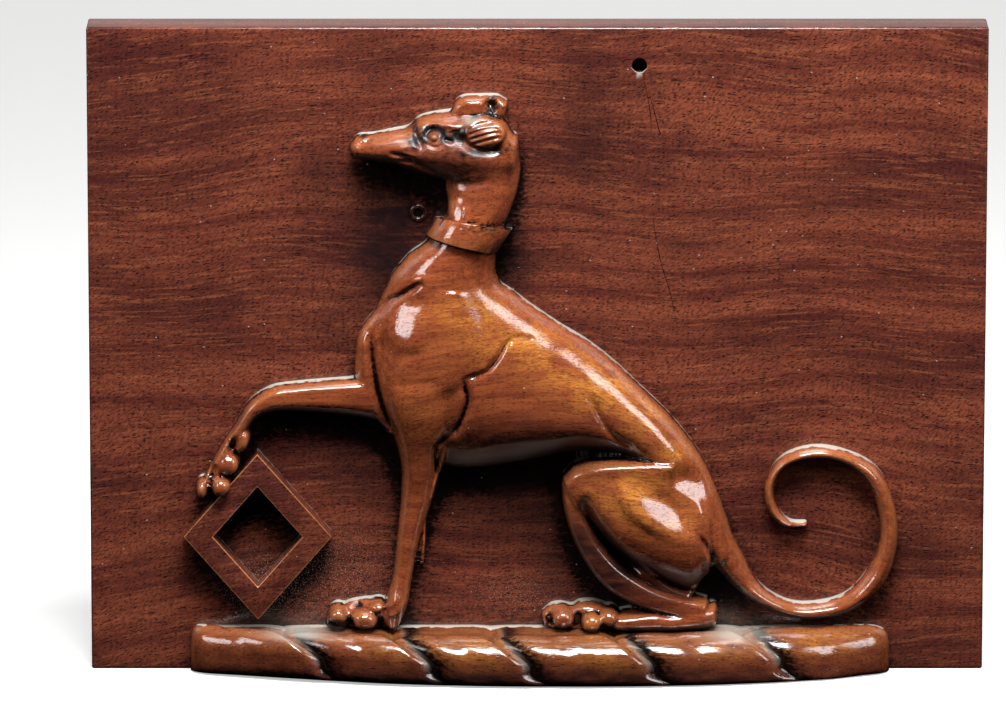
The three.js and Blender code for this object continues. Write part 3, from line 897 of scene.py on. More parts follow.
def make_mascle():
    """The lozenge frame, from four vertices."""
    half, tall = MASCLE_WIDTH / 2, MASCLE_HEIGHT / 2
    corners = [(half, 0), (0, tall), (-half, 0), (0, -tall)]
    bm = bmesh.new()
    verts = [bm.verts.new(on_board(MASCLE_X + x, -BASE_DEPTH, MASCLE_Z + z)) for x, z in corners]
    lozenge = bm.faces.new(verts)
    bm.normal_update()
    bars = bmesh.ops.inset_individual(bm, faces=[lozenge], thickness=MASCLE_BAR * MM, use_even_offset=True)
    middle = [f for f in bm.faces if f not in bars["faces"]]
    bmesh.ops.delete(bm, geom=middle, context="FACES_ONLY")
    pulled = bmesh.ops.extrude_face_region(bm, geom=bm.faces[:], use_keep_orig=True)
    front = [g for g in pulled["geom"] if isinstance(g, bmesh.types.BMFace)]
    front_verts = list({v for f in front for v in f.verts})
    bmesh.ops.translate(bm, verts=front_verts, vec=(0, -(MASCLE_PROUD + BASE_DEPTH) * MM, 0))
    bmesh.ops.recalc_face_normals(bm, faces=bm.faces[:])
    arrises = {e for f in front for e in f.edges}
    upright = {e for e in bm.edges if abs(e.verts[0].co.y - e.verts[1].co.y) > MASCLE_PROUD / 2 * MM}
    rims = {e for e in arrises if sum(f in front for f in e.link_faces) == 1}
    soften_edges(bm, list(rims | upright), MASCLE_ARRIS)
    return mesh_object("mascle", bm)


mascle = make_mascle()
print("mascle:", len(mascle.data.polygons), "faces")

# %% Collar and ring
COLLAR_STATIONS = [
    [-34.3, 158.1, -8.3, 153.8, 17.2, 2.4],
    [-36.0, 155.2, -11.0, 149.8, 17.9, 1.9],
    [-37.9, 152.4, -13.6, 146.0, 18.3, 1.4],
]
RING_MIDDLE = (-40.4, 0.2, 159.3)
RING_RADIUS = 2.25
RING_WIRE = 0.75
COLLAR_ARRIS = 0.35
COLLAR_SQUARENESS = 0.83


def make_collar(sides=72):
    """A band of sections, each given by its two ends, its height and how far its middle leans upwards."""
    bm = bmesh.new()
    loops = []
    for x1, z1, x2, z2, high, lean in COLLAR_STATIONS:
        ring = bmesh.ops.create_circle(bm, cap_ends=False, segments=sides, radius=1)["verts"]
        for vert in ring:
            across = signed_power(vert.co.x, COLLAR_SQUARENESS)
            out = signed_power(vert.co.y, COLLAR_SQUARENESS)
            proud = high * out if out > 0 else BASE_DEPTH * out
            share = (1 + across) / 2
            rise = lean * max(0, out)
            vert.co = on_board(x1 + share * (x2 - x1), proud, z1 + share * (z2 - z1) + rise)
        loops.append([e for e in bm.edges if all(v in ring for v in e.verts)])
    for first, second in zip(loops, loops[1:]):
        bmesh.ops.bridge_loops(bm, edges=first + second)
    rims = loops[0] + loops[-1]
    bmesh.ops.holes_fill(bm, edges=rims, sides=0)
    bmesh.ops.recalc_face_normals(bm, faces=bm.faces[:])
    soften_edges(bm, rims, COLLAR_ARRIS)
    return mesh_object("collar", bm)


def make_ring():
    """A circle of wire spun round the ring's middle."""
    bm = bmesh.new()
    x, proud, z = RING_MIDDLE
    side = Matrix.Translation(on_board(x + RING_RADIUS, proud, z))
    bmesh.ops.create_circle(bm, cap_ends=False, segments=16, radius=RING_WIRE * MM, matrix=side)
    bmesh.ops.spin(
        bm, geom=bm.verts[:] + bm.edges[:], cent=on_board(x, proud, z), axis=(0, 1, 0),
        angle=2 * math.pi, steps=40, use_merge=True,
    )
    bmesh.ops.remove_doubles(bm, verts=bm.verts[:], dist=1e-6)
    bmesh.ops.recalc_face_normals(bm, faces=bm.faces[:])
    return mesh_object("ring", bm)


collar = make_collar()
ring = make_ring()
print("collar:", len(collar.data.polygons), "faces; ring:", len(ring.data.polygons), "faces")

# %% [markdown]
# ## The board and what time cut into it
# The board is a box with its arrises taken off. Its ground face gets a grid, so that it can carry the
# darkening and the dust as values on its vertices. A nail hole is drilled near the top edge, and old
# scratches run across the ground. Each scratch is cut with a thin three-sided blade, as real as the hole.

# %% Board
ARRIS = 0.8
GROUND_GRID = 2.5
HOLE_X = 34.5
HOLE_BELOW_TOP = 13.0
HOLE_DIAMETER = 5.2
HOLE_DEPTH = 14.0


def make_board():
    """A box with soft arrises and a grid on its ground face."""
    bm = bmesh.new()
    size = Matrix.Diagonal((BOARD_WIDTH, BOARD_THICKNESS, BOARD_HEIGHT, 1))
    middle = Matrix.Translation((0, GROUND_Y + BOARD_THICKNESS / 2, BOARD_HEIGHT / 2))
    bmesh.ops.create_cube(bm, size=1, matrix=middle @ size)
    soften_edges(bm, bm.edges[:], ARRIS, 3)
    for axis, length in ((0, BOARD_WIDTH), (2, BOARD_HEIGHT)):
        inside = [e for e in bm.edges if all(abs(v.co.y - GROUND_Y) < 1e-6 for v in e.verts)]
        lines = [e for e in inside if abs(e.verts[0].co[axis] - e.verts[1].co[axis]) > GROUND_GRID * MM]
        bmesh.ops.subdivide_edges(bm, edges=lines, cuts=int(length / MM / GROUND_GRID))
    return mesh_object(BOARD + "_carved", bm)


def make_drill():
    """The waste of the nail hole, as a round bar that sticks out of the ground."""
    bm = bmesh.new()
    place = Matrix.Translation((HOLE_X * MM, GROUND_Y, BOARD_HEIGHT - HOLE_BELOW_TOP * MM))
    turn = Matrix.Rotation(math.radians(90), 4, "X")
    radius = HOLE_DIAMETER / 2 * MM
    bmesh.ops.create_cone(
        bm, cap_ends=True, segments=40, radius1=radius, radius2=radius, depth=2 * HOLE_DEPTH * MM,
        matrix=place @ turn,
    )
    return mesh_object("nail_hole", bm)


panel = make_board()
drill = make_drill()
print("board:", len(panel.data.polygons), "faces")

# %% Scratches
SCRATCH_WIDTH = 0.45
SCRATCH_DEPTH = 0.25
SCRATCH_TIP = 0.25
SCRATCHES = [
    [(35.7, 205.9), (37.3, 199.2), (38.3, 192.3), (38.7, 187.1)],
    [(37.5, 201.5), (40.0, 192.3), (41.7, 186.3), (44.1, 184.2)],
    [(39.0, 162.6), (40.0, 152.2), (42.1, 141.4), (45.2, 131.3), (47.6, 120.2)],
]


def make_blade(points):
    """A three-sided blade along a line of the ground, thin at both ends."""
    bm = bmesh.new()
    path = curve(points, 4)
    loops = []
    for i, (x, z) in enumerate(path):
        ahead = path[min(i + 1, len(path) - 1)] - path[max(i - 1, 0)]
        side = np.array([-ahead[1], ahead[0]]) / np.hypot(*ahead)
        size = SCRATCH_TIP + (1 - SCRATCH_TIP) * math.sin(math.pi * i / (len(path) - 1))
        wide = side * SCRATCH_WIDTH * size
        section = bmesh.ops.create_circle(bm, cap_ends=False, segments=3, radius=1)["verts"]
        section[0].co = on_board(x + wide[0], SCRATCH_DEPTH * size, z + wide[1])
        section[1].co = on_board(x - wide[0], SCRATCH_DEPTH * size, z - wide[1])
        section[2].co = on_board(x, -SCRATCH_DEPTH * size, z)
        loops.append([e for e in bm.edges if all(v in section for v in e.verts)])
    for near, far in zip(loops, loops[1:]):
        bmesh.ops.bridge_loops(bm, edges=near + far)
    bmesh.ops.holes_fill(bm, edges=loops[0] + loops[-1], sides=0)
    bmesh.ops.recalc_face_normals(bm, faces=bm.faces[:])
    return mesh_object("scratch", bm)


scratches = [make_blade(points) for points in SCRATCHES]
print(len(scratches), "scratches")

# %% [markdown]
# ## One piece of wood
# The parts were made apart, but the carving is one piece, so they are joined into one closed skin. A
# Boolean modifier does it: it keeps the outside of everything that is added and cuts what is taken away.

# %% Joined into one
def combine(made, tool, operation):
    """Adds a tool to a piece or cuts it away, and throws the tool out."""
    step = made.modifiers.new(operation.title(), "BOOLEAN")
    step.operation = operation
    step.solver = "MANIFOLD"
    step.object = tool
    apply_modifiers(made)
    bpy.data.objects.remove(tool)


for part in (hound, torse, mascle, collar, ring):
    combine(panel, part, "UNION")
for tool in (drill, *scratches):
    combine(panel, tool, "DIFFERENCE")
print("one piece:", len(panel.data.polygons), "faces")

# %% Shading of the faces
SHARP_ANGLE = 38.0
panel.data.polygons.foreach_set("use_smooth", [True] * len(panel.data.polygons))
panel.data.set_sharp_from_angle(angle=math.radians(SHARP_ANGLE))
print("edges over", SHARP_ANGLE, "degrees stay sharp")

# %% [markdown]
# ## Wear, dirt and painted light
# Two hundred years of handling, wax and dust leave marks that follow the shape. High places are rubbed
# golden, and the gold also stands for a painted sheen where the lamps' lights fall. Edges are lighter from
# wear and a painted highlight. Hollows hold dark old wax and painted shade, undersides get painted shade,
# the ground below the figure gets a painted shadow, and grey dust lies where a wall faces up and a duster
# can't reach. Rays shot at the finished face measure how proud it is, point by point. Blurring that map
# and taking the difference shows what stands out and what lies deep, at the scale of the blur. Where the
# shape alone doesn't say enough, soft oval spots are laid on: dust on the ledge, stains and painted shadow
# on the ground, wax and painted shade round the eye, painted shade under the belly, gold and painted sheen
# on the flank, and skin gone dull. The results are stored as values on the vertices, so they stay with
# the wood from every side.

# %% Measured face
SURVEY_STEP = 0.5


def survey(made):
    """Heights of the finished face over the ground in millimetres, found by rays from the front."""
    bm = bmesh.new()
    bm.from_mesh(made.data)
    tree = BVHTree.FromBMesh(bm)
    bm.free()
    xs = np.arange(-BOARD_WIDTH / MM / 2, BOARD_WIDTH / MM / 2, SURVEY_STEP) + SURVEY_STEP / 2
    zs = np.arange(0, BOARD_HEIGHT / MM, SURVEY_STEP) + SURVEY_STEP / 2
    field = np.zeros((len(zs), len(xs)))
    ahead = Vector((0, 1, 0))
    for row, z in enumerate(zs):
        for column, x in enumerate(xs):
            hit = tree.ray_cast(Vector((x * MM, -0.1, z * MM)), ahead)[0]
            field[row, column] = (GROUND_Y - hit.y) / MM if hit else 0
    return field


heights = np.clip(survey(panel), 0, None)
print("face measured, mean height", round(float(heights.mean()), 2), "mm")

# %% Reading the measured face
def blurred(field, radius):
    """A measured field, blurred over a radius in millimetres."""
    cells = radius / SURVEY_STEP
    margin = int(4 * cells) + 1
    soft = blur(np.pad(field, margin, mode="edge"), cells)
    return soft[margin:margin + field.shape[0], margin:margin + field.shape[1]]


def at(field, co):
    """A measured field's values at vertices."""
    column = (co[:, 0] / MM + BOARD_WIDTH / MM / 2) / SURVEY_STEP - 0.5
    return between_cells(field, column, co[:, 2] / MM / SURVEY_STEP - 0.5)


def ramp(value, low, high):
    """0 below low, 1 above high, and a smooth rise between them."""
    t = np.clip((value - low) / (high - low), 0, 1)
    return t * t * (3 - 2 * t)


print("highest point measured", round(float(heights.max()), 1), "mm")

# %% Places of dust, stain, wax and wear
# Each spot is a centre, two radii in millimetres and a strength.
LEDGE_DUST = [
    ((-81, 16.5), (10, 4), 0.8), ((67, 16.5), (9, 4), 0.8), ((-21.5, 192.8), (3.5, 1.6), 0.6),
]
GROUND_DUST = [
    ((-76, 30), (20, 10), 0.9), ((-95, 31), (9, 9), 0.9), ((-62, 40), (12, 10), 0.5),
    ((-5, 27), (16, 7), 0.6), ((104, 220.8), (7, 1.0), 0.9),
]
# Real stains and knot marks on the ground, and painted shadow below and beside the figure: under the muzzle
# and the collar, beside the chest, round the legs and the mascle, and under the raised leg, haunch and tail
STAINS_AND_SHADOWS = [
    ((17, 186), (9, 24), 0.5), ((-70, 119), (12, 8), 0.4), ((-74, 172), (9, 14), 0.5),
    ((-49, 163), (14, 16), 1.1), ((-52, 140), (13, 13), 1.0), ((-7, 142), (6, 11), 0.95),
    ((51, 148.3), (11, 1.6), 0.6), ((136, 207), (0.9, 4), 0.8), ((148, 209.5), (6, 1.5), 0.5),
    ((-14, 64), (24, 20), 0.85), ((-62, 78), (13, 20), 0.75), ((-84, 88), (14, 5), 0.6),
    ((-114, 34), (9, 8), 0.6), ((-77, 40), (8, 10), 0.7), ((66, 30), (12, 9), 1.0),
    ((86, 67), (7, 7), 0.6), ((5, 40), (8, 18), 0.6),
]
# Old wax and painted shade in the recesses of the head: eye socket and lids, stop, nostril, mouth, under the
# near ear, the far ear's shell, under the jaw and under the collar, and a light darkening over the face
WAX_AND_SHADE = [
    ((-34.8, 190.4), (3.4, 1.1), 1.2), ((-37.9, 188.0), (1.2, 2.4), 1.2), ((-31.7, 188.2), (1.1, 1.6), 1.2),
    ((-28.8, 187.0), (3.4, 0.9), 1.2), ((-26.6, 188.8), (2.8, 2.4), 1.1), ((-41.3, 188.5), (1.7, 4.4), 0.75),
    ((-30, 184), (15, 9), 0.22), ((-22, 191.5), (3, 2), 0.5), ((-42.5, 185.5), (2.6, 2.0), 0.45),
    ((-16.0, 183.2), (8.5, 1.6), 0.85), ((-15.3, 198.0), (2.5, 4.5), 0.95), ((-59.2, 187.0), (2.2, 0.8), 0.9),
    ((-42.5, 179.8), (5.5, 0.8), 0.8), ((-24.0, 182.0), (6.0, 1.5), 0.35), ((-28.0, 173.2), (9.0, 2.2), 0.7),
    ((-17.0, 157.3), (7.0, 1.4), 0.8),
]
# Painted shade on the figure: under the belly, on the shin and round the hock, along the foot of the torse,
# under the jaw and under the raised leg; a few broad spots darken the torse, the flank and the cheek all over
SHADED = [
    ((-5, 80), (31, 9), 1.2), ((25, 80), (10, 3), 0.6), ((14, 45), (9, 15), 1.0),
    ((26, 33), (10, 7), 1.0), ((40, 26), (11, 4), 0.6), ((45, 36), (13, 6), 0.15),
    ((5, 100), (34, 14), 0.18), ((0, 1.5), (140, 4.5), 0.9), ((0, 9), (140, 9), 0.55),
    ((24, 38), (12, 10), 0.4), ((-28, 172.5), (12, 3.5), 0.5), ((-30, 183), (15, 8), 0.2),
    ((-78, 90), (24, 3.5), 0.8),
]
# Golden wear on the high places, with a painted sheen where the lamps' lights fall on flank, haunch and the
# roll of the torse
GOLDEN_AND_SHEEN = [
    ((0, 13), (120, 3.5), 0.45), ((-22, 128), (13, 5), 0.9), ((-20, 116), (13, 5), 0.5),
    ((-4, 118), (9, 5), 0.9), ((8, 109), (12, 6), 1.0), ((12, 122), (10, 4), 0.6),
    ((22, 101), (11, 7), 1.0), ((30, 108), (8, 4), 0.7), ((38, 92), (8, 8), 0.9),
    ((47.7, 78), (6, 5), 1.0), ((31, 66), (12, 9), 0.9), ((43, 57), (10, 6), 0.7),
    ((-16, 12), (14, 5), 0.9), ((28, 10), (14, 5), 0.8), ((97, 13), (20, 4), 0.8),
    ((-45, 12), (10, 4), 0.5), ((62, 12), (10, 4), 0.5), ((18.7, 19), (4, 3), 1.0),
    ((-59, 20), (4, 3), 0.5), ((-40, 92), (10, 12), 0.25), ((-17, 189), (7, 4), 0.4),
]
DULL = [
    ((-46, 185), (11, 7), 1.0), ((-33, 188), (8, 8), 0.8), ((-25, 177), (14, 8), 0.9),
    ((-17, 189), (9, 7), 0.5), ((14, 44), (10, 20), 0.8), ((21, 76.5), (5, 2.2), 1.0),
    ((44, 30), (9, 2.5), 1.0),
]


def spots(co, laid):
    """The sum of soft oval spots on the board's face, at vertices."""
    total = np.zeros(len(co))
    for (x, z), (across, up), strength in laid:
        total += strength * np.exp(-(((co[:, 0] / MM - x) / across) ** 2) - ((co[:, 2] / MM - z) / up) ** 2)
    return total


print(len(STAINS_AND_SHADOWS), "stains,", len(WAX_AND_SHADE), "places of wax and", len(GOLDEN_AND_SHEEN), "of gold")

# %% Measures at the vertices
def past_a_groove(co):
    """How many millimetres a vertex lies past the nearest groove of the torse, along the bar."""
    half = TORSE_HEIGHT / 2
    up = np.clip((co[:, 2] / MM - half) / half, -1, 1)
    angle = np.arcsin(signed_power(up, np.where(up < 0, ROLL_BELOW, ROLL_ABOVE) / 2))
    along = co[:, 0] / MM - TORSE_X
    along = along + twist(angle, 1 - np.abs(along) / (TORSE_LENGTH / 2))
    past = along[:, None] - np.array(GROOVES_X)[None, :]
    return past[np.arange(len(co)), np.argmin(np.abs(past), axis=1)]


co = np.array([v.co for v in panel.data.vertices])
normals = np.array([v.normal for v in panel.data.vertices])
x, z = co[:, 0] / MM, co[:, 2] / MM
proud = (GROUND_Y - co[:, 1]) / MM
facing_up = np.clip(normals[:, 2], 0, 1)
rise_here = at(heights - blurred(heights, 1.0), co)
# Relief round a point, which darkens the ground near the figure
beside = at(blurred(heights, 5.0), co)
# Relief just above a point, which places a painted shadow on the ground below the figure
over_it = at(blurred(heights, 5.5), co + np.array([0, 0, 8 * MM]))
lozenge = np.abs(x - MASCLE_X) / (MASCLE_WIDTH / 2) + np.abs(z - MASCLE_Z) / (MASCLE_HEIGHT / 2)
flat_work = (lozenge < 1.05) & (proud < MASCLE_PROUD + 0.3)
mascle_arris = flat_work & (proud > MASCLE_PROUD - 0.3) & (proud < MASCLE_PROUD - 0.04)
figure = ramp(proud, 0.4, 3.0) * ~flat_work
ground = (1 - figure) * (proud < 3)
from_ring = np.hypot(x - RING_MIDDLE[0], z - RING_MIDDLE[2])
from_hole = np.hypot(x - HOLE_X, z - BOARD_HEIGHT / MM + HOLE_BELOW_TOP)
in_the_hole = from_hole < HOLE_DIAMETER / 2 + 0.05
inside_the_face = (np.abs(x) < 150) & (z > 2) & (z < 221)
in_a_scratch = (proud < -0.02) & (proud > -1) & (from_hole > HOLE_DIAMETER) & inside_the_face
on_torse = (z < TORSE_HEIGHT + 0.6) & (proud > 3)
past = past_a_groove(co)
# Painted shade on the left-facing flank of each torse strand, darkest at the foot of a groove
groove_shade = on_torse * np.where(past > 0, np.exp(-((past / 6.5) ** 2)), ramp(past, -2.6, -0.6))
groove_dust = on_torse * ramp(past, -3.4, -2.4) * ramp(past, 0.4, -0.8)
groove_dust *= ramp(z, 5, 9) * ramp(z, 15.6, 14.4)
print(len(co), "vertices,", int(in_a_scratch.sum()), "of them in a scratch")

# %% Marks stored on the vertices
def mark(name, values):
    """Stores one value on each vertex of the panel, from 0 to 1."""
    layer = panel.data.attributes.new(name, "FLOAT", "POINT")
    layer.data.foreach_set("value", np.clip(values, 0, 1).astype(np.float32))


mark("figure", figure * np.where(on_torse, 0.75, 1.0))
# Gold: wear and a painted sheen
mark("worn_and_sheen", figure * spots(co, GOLDEN_AND_SHEEN) * ramp(proud, 5, 11))
# Lighter edges: wear and a painted highlight on the mascle's arrises and the ridges of the figure
mark("rubbed_and_highlight", np.where(flat_work, mascle_arris, 0.25 * ramp(rise_here, 0.3, 0.9) * (proud > 1)))
# Old wax and painted shade in creases and in spots round the eye, ears, jaw and collar, painted shade on the
# grooves' flanks and the undersides, a darker ground at the foot of the walls with a painted shadow below the
# figure, the ring and the ground inside it darkened, and dark wax in the hole and the scratches
mark("wax_and_shade", np.maximum.reduce([
    figure * ~on_torse * ramp(-rise_here, 0.05, 0.8),
    # painted shade on the left-facing flanks of the torse strands
    0.95 * groove_shade,
    # painted shade on the undersides of the figure
    0.9 * figure * ramp(-normals[:, 2], 0.1, 0.75),
    figure * spots(co, WAX_AND_SHADE),
    # a darker ground round the figure, and a painted shadow below it
    0.35 * ground * ramp(beside, 0.8, 5.0),
    0.95 * ground * ramp(over_it, 0.5, 6.0),
    1.0 * (from_ring < RING_RADIUS - 0.5) * (proud < 0.5),
    0.6 * (from_ring < RING_RADIUS + RING_WIRE + 0.3),
    1.0 * in_the_hole * (proud < -1),
    1.0 * in_a_scratch,
]))
mark("dull", figure * (spots(co, DULL) + ramp(-normals[:, 2], 0.3, 0.7)))
mark("faces_up", facing_up * np.where(from_ring < 4, 0.5, 1.0))
mark("bed", np.maximum.reduce([
    ramp(facing_up, 0.5, 0.9) * (proud > 0.3) * ramp(proud, 24, 17) * spots(co, LEDGE_DUST),
    0.22 * groove_dust,
    1.0 * in_the_hole * (facing_up > 0.4),
]))
mark("stippled", ground * spots(co, GROUND_DUST))
# Real stains and painted shadow on the ground, painted shade on the figure
mark("stained_and_shaded", (1 - figure) * spots(co, STAINS_AND_SHADOWS) + figure * spots(co, SHADED))
print("marks stored")

# %% [markdown]
# ## Polished mahogany
# Mahogany is a red-brown wood with open pores, which show as short dark dashes along the grain. On the
# real wood they are 1 to 5 mm long and 0.2 to 0.3 mm wide. That is less than a pixel here, so they are
# drawn nearly half a millimetre wide, as coarse as they need to be to show. Bands of darker and lighter
# wood run the same way. The patterns are solid, worked out from a place in the block and not on its
# skin, so they run through the carving, and a pore that meets a curved flank end on shows as a dot, as
# in real wood.
#
# Years of wax over shellac give a deep gloss. The index of refraction is the 1.5 of shellac, and the
# roughness is low. A clear coat over it, with a higher index than wax has, stands for the built-up wax
# and gives the sharp lights. It fades where the wood is bare, dull or dusty, or holds old wax and painted
# shade. A shallow bump from fine fibres and pores breaks those lights, as the open grain does.

# %% One helper for all nodes
def colour(code):
    """An sRGB hex colour as the linear values that shaders need."""
    parts = [int(code[i:i + 2], 16) / 255 for i in (1, 3, 5)]
    return tuple(c / 12.92 if c <= 0.04045 else ((c + 0.055) / 1.055) ** 2.4 for c in parts) + (1.0,)


def node(tree, kind, inputs=None, **settings):
    """Adds a node with its settings. An input is a value, or another node's output to link."""
    made = tree.nodes.new("ShaderNode" + kind)
    for name, value in settings.items():
        setattr(made, name, value)
    for name, value in (inputs or {}).items():
        if isinstance(value, bpy.types.NodeSocket):
            tree.links.new(value, made.inputs[name])
        else:
            made.inputs[name].default_value = value
    return made.outputs


print("the red of the board in linear values", [round(c, 3) for c in colour("#8c4832")])

# %% Grain
GRAIN_ARC = 0.0003
GRAIN_ARC_X = 30.0
GRAIN_DRIFT = 18.0


def grain_place(tree):
    """Object coordinates in millimetres, bent so that the grain runs in a flat arc across the board."""
    spot = node(tree, "TexCoord")["Object"]
    place = node(tree, "VectorMath", {0: spot, "Scale": 1 / MM}, operation="SCALE")["Vector"]
    wander = node(tree, "TexNoise", {"Vector": place, "Scale": 0.014, "Detail": 0.0})["Fac"]
    apart = node(tree, "SeparateXYZ", {0: place})
    off = node(tree, "Math", {0: apart["X"], 1: GRAIN_ARC_X}, operation="SUBTRACT")[0]
    arc = node(tree, "Math", {0: off, 1: off}, operation="MULTIPLY")[0]
    bent = node(tree, "Math", {0: arc, 1: GRAIN_ARC, 2: apart["Z"]}, operation="MULTIPLY_ADD")[0]
    drift = node(tree, "Math", {0: wander, 1: GRAIN_DRIFT, 2: bent}, operation="MULTIPLY_ADD")[0]
    return node(tree, "CombineXYZ", {0: apart["X"], 1: apart["Y"], 2: drift})[0]


def stretched(tree, place, length, width):
    """The same place with the grain's long and short sizes brought to one."""
    size = (1 / length, 1 / width, 1 / width)
    return node(tree, "VectorMath", {0: place, 1: size}, operation="MULTIPLY")["Vector"]


def streaks(tree, place, length, width, low, high, detail=3.0):
    """Noise drawn out along the grain, sized in millimetres and spread from 0 at low to 1 at high."""
    inputs = {"Vector": stretched(tree, place, length, width), "Scale": 1.0, "Detail": detail}
    field = node(tree, "TexNoise", inputs)["Fac"]
    return node(tree, "MapRange", {0: field, 1: low, 2: high}, interpolation_type="SMOOTHSTEP")[0]


print("the grain drifts by up to", GRAIN_DRIFT, "mm")

# %% Pores
PORE_LENGTH = 1.7
PORE_WIDTH = 0.5
SHORT_PORES = 0.42
LONG_PORES = 0.14


def overlap(tree, *shares):
    """Several shares multiplied, so that a spot counts only where all of them lie."""
    total = shares[0]
    for share in shares[1:]:
        total = node(tree, "Math", {0: total, 1: share}, operation="MULTIPLY")[0]
    return total


def pores(tree, place, length, width, share):
    """1 inside a pore and 0 outside. Only a share of the cells holds one."""
    cell = node(tree, "TexVoronoi", {"Vector": stretched(tree, place, length, width), "Scale": 1.0})
    rim = {0: cell["Distance"], 1: 0.42, 2: 0.22}
    inside = node(tree, "MapRange", rim, interpolation_type="SMOOTHSTEP")[0]
    lot = node(tree, "SeparateColor", {0: cell["Color"]})["Red"]
    chosen = node(tree, "Math", {0: lot, 1: share}, operation="LESS_THAN")[0]
    return overlap(tree, inside, chosen)


print("pores at most", 3.0 * PORE_LENGTH, "mm long")

# %% Mahogany
TOOTH_SLANT = 38.0


def laid_over(tree, wood, tint, *shares):
    """A tint laid over the wood, as thick as the product of its shares."""
    return node(tree, "Mix", {0: overlap(tree, *shares), 6: wood, 7: tint}, data_type="RGBA")[2]


def ground_wood(tree, place):
    """The dull red wood of the board, toothed by a scraper that was drawn across it at a slant."""
    turned = {"Vector": place, "Angle": math.radians(TOOTH_SLANT)}
    slanting = node(tree, "VectorRotate", turned, rotation_type="Y_AXIS")["Vector"]
    bands = streaks(tree, place, 110, 5.0, 0.32, 0.7)
    clouds = streaks(tree, place, 60, 22, 0.4, 0.64, 2.0)
    fibres = streaks(tree, place, 14, 0.9, 0.5, 0.7, 2.0)
    teeth = streaks(tree, slanting, 1.3, 0.42, 0.4, 0.66, 2.0)
    wood = laid_over(tree, colour("#8c4832"), colour("#652f24"), bands)
    wood = laid_over(tree, wood, colour("#421e1c"), clouds, 0.58)
    wood = laid_over(tree, wood, colour("#a85f3e"), fibres, 0.45)
    return laid_over(tree, wood, colour("#35171a"), teeth, 0.62)


def figure_wood(tree, place, worn_and_sheen):
    """The polished wood of the figure, red-brown at heart, golden where rubbed and with a painted sheen."""
    bands = streaks(tree, place, 26, 2.0, 0.3, 0.7, 4.0)
    fibres = streaks(tree, place, 6, 0.7, 0.35, 0.65)
    lines = node(tree, "Math", {0: fibres, 1: 0.65, 2: 0.35}, operation="MULTIPLY_ADD")[0]
    flakes = streaks(tree, place, 12, 5, 0.3, 0.55)
    grime = streaks(tree, place, 12, 0.4, 0.52, 0.72, 2.0)
    flecks = streaks(tree, place, 1.2, 0.5, 0.5, 0.72, 2.0)
    wood = laid_over(tree, colour("#a45530"), colour("#833f28"), bands)
    # gold of wear and of painted sheen
    wood = laid_over(tree, wood, colour("#d98b3a"), worn_and_sheen, lines, flakes)
    wood = laid_over(tree, wood, colour("#4a2119"), grime, 0.45)
    return laid_over(tree, wood, colour("#431d18"), flecks, 0.4)


print("the scraper was held", TOOTH_SLANT, "degrees off the grain")

# %% Stains, old wax, painted shade and dust
SPECK_SHARE = 0.7


def stains_and_shade(tree, place, stained_and_shaded):
    """Dark stains and painted shade, a little cloudy."""
    clouds = streaks(tree, place, 7, 2.5, 0.25, 0.75, 4.0)
    return overlap(tree, stained_and_shaded, node(tree, "MapRange", {0: clouds, 3: 0.7, 4: 1.0})[0])


def dark_wax_and_shade(tree, place, wax_and_shade):
    """Black wax and painted shade in the hollows, which run out raggedly into the grain."""
    uneven = streaks(tree, place, 2.0, 0.9, 0.3, 0.7, 4.0)
    ragged = node(tree, "Math", {0: uneven, 1: 0.5, 2: wax_and_shade}, operation="MULTIPLY_ADD")[0]
    return node(tree, "MapRange", {0: ragged, 1: 0.42, 2: 1.1})[0]


def dust_line(tree, place, faces_up, proud):
    """A crisp grey line low on the walls that face up, which climbs highest on the flattest of them."""
    uneven = streaks(tree, place, 3.0, 3.0, 0.2, 0.8)
    reach = node(tree, "MapRange", {0: faces_up, 1: 0.35, 2: 1.0, 3: 0.0, 4: 4.0})[0]
    reach = node(tree, "Math", {0: uneven, 1: 3.0, 2: reach}, operation="MULTIPLY_ADD")[0]
    above = node(tree, "Math", {0: reach, 1: proud}, operation="SUBTRACT")[0]
    line = node(tree, "MapRange", {0: above, 1: 1.2, 2: 2.2}, interpolation_type="SMOOTHSTEP")[0]
    upward = node(tree, "MapRange", {0: faces_up, 1: 0.3, 2: 0.5}, interpolation_type="SMOOTHSTEP")[0]
    off_ground = node(tree, "Math", {0: proud, 1: 0.04}, operation="GREATER_THAN")[0]
    bright = node(tree, "MapRange", {0: faces_up, 1: 0.6, 2: 1.0, 3: 0.35, 4: 1.0})[0]
    return overlap(tree, line, upward, off_ground, bright)


def dust(tree, place, mark_of):
    """The line on the walls, a bed on the ledge and in the hole, specks on the ground and stray ones."""
    depth = node(tree, "SeparateXYZ", {0: node(tree, "TexCoord")["Object"]})["Y"]
    outwards = {0: depth, 1: GROUND_Y, 2: GROUND_Y - MM, 3: 0.0, 4: 1.0}
    proud = node(tree, "MapRange", outwards, clamp=False)[0]
    near_rim = node(tree, "MapRange", {0: proud, 1: -1.6, 2: -0.4})[0]
    specks = streaks(tree, place, 0.45, 0.4, 0.58, 0.7, 1.0)
    stray = pores(tree, place, 0.9, 0.7, 0.002)
    total = dust_line(tree, place, mark_of["faces_up"], proud)
    for other in (
        overlap(tree, mark_of["bed"], near_rim),
        overlap(tree, mark_of["stippled"], specks, SPECK_SHARE),
        overlap(tree, stray, SPECK_SHARE),
    ):
        total = node(tree, "Math", {0: total, 1: other}, operation="MAXIMUM")[0]
    return total


print("dust and wax defined")

# %% The whole finish
MARKS = ("figure", "worn_and_sheen", "rubbed_and_highlight", "wax_and_shade", "dull", "faces_up", "bed", "stippled", "stained_and_shaded")
FIBRE_DEPTH = 0.05
COAT = 0.6


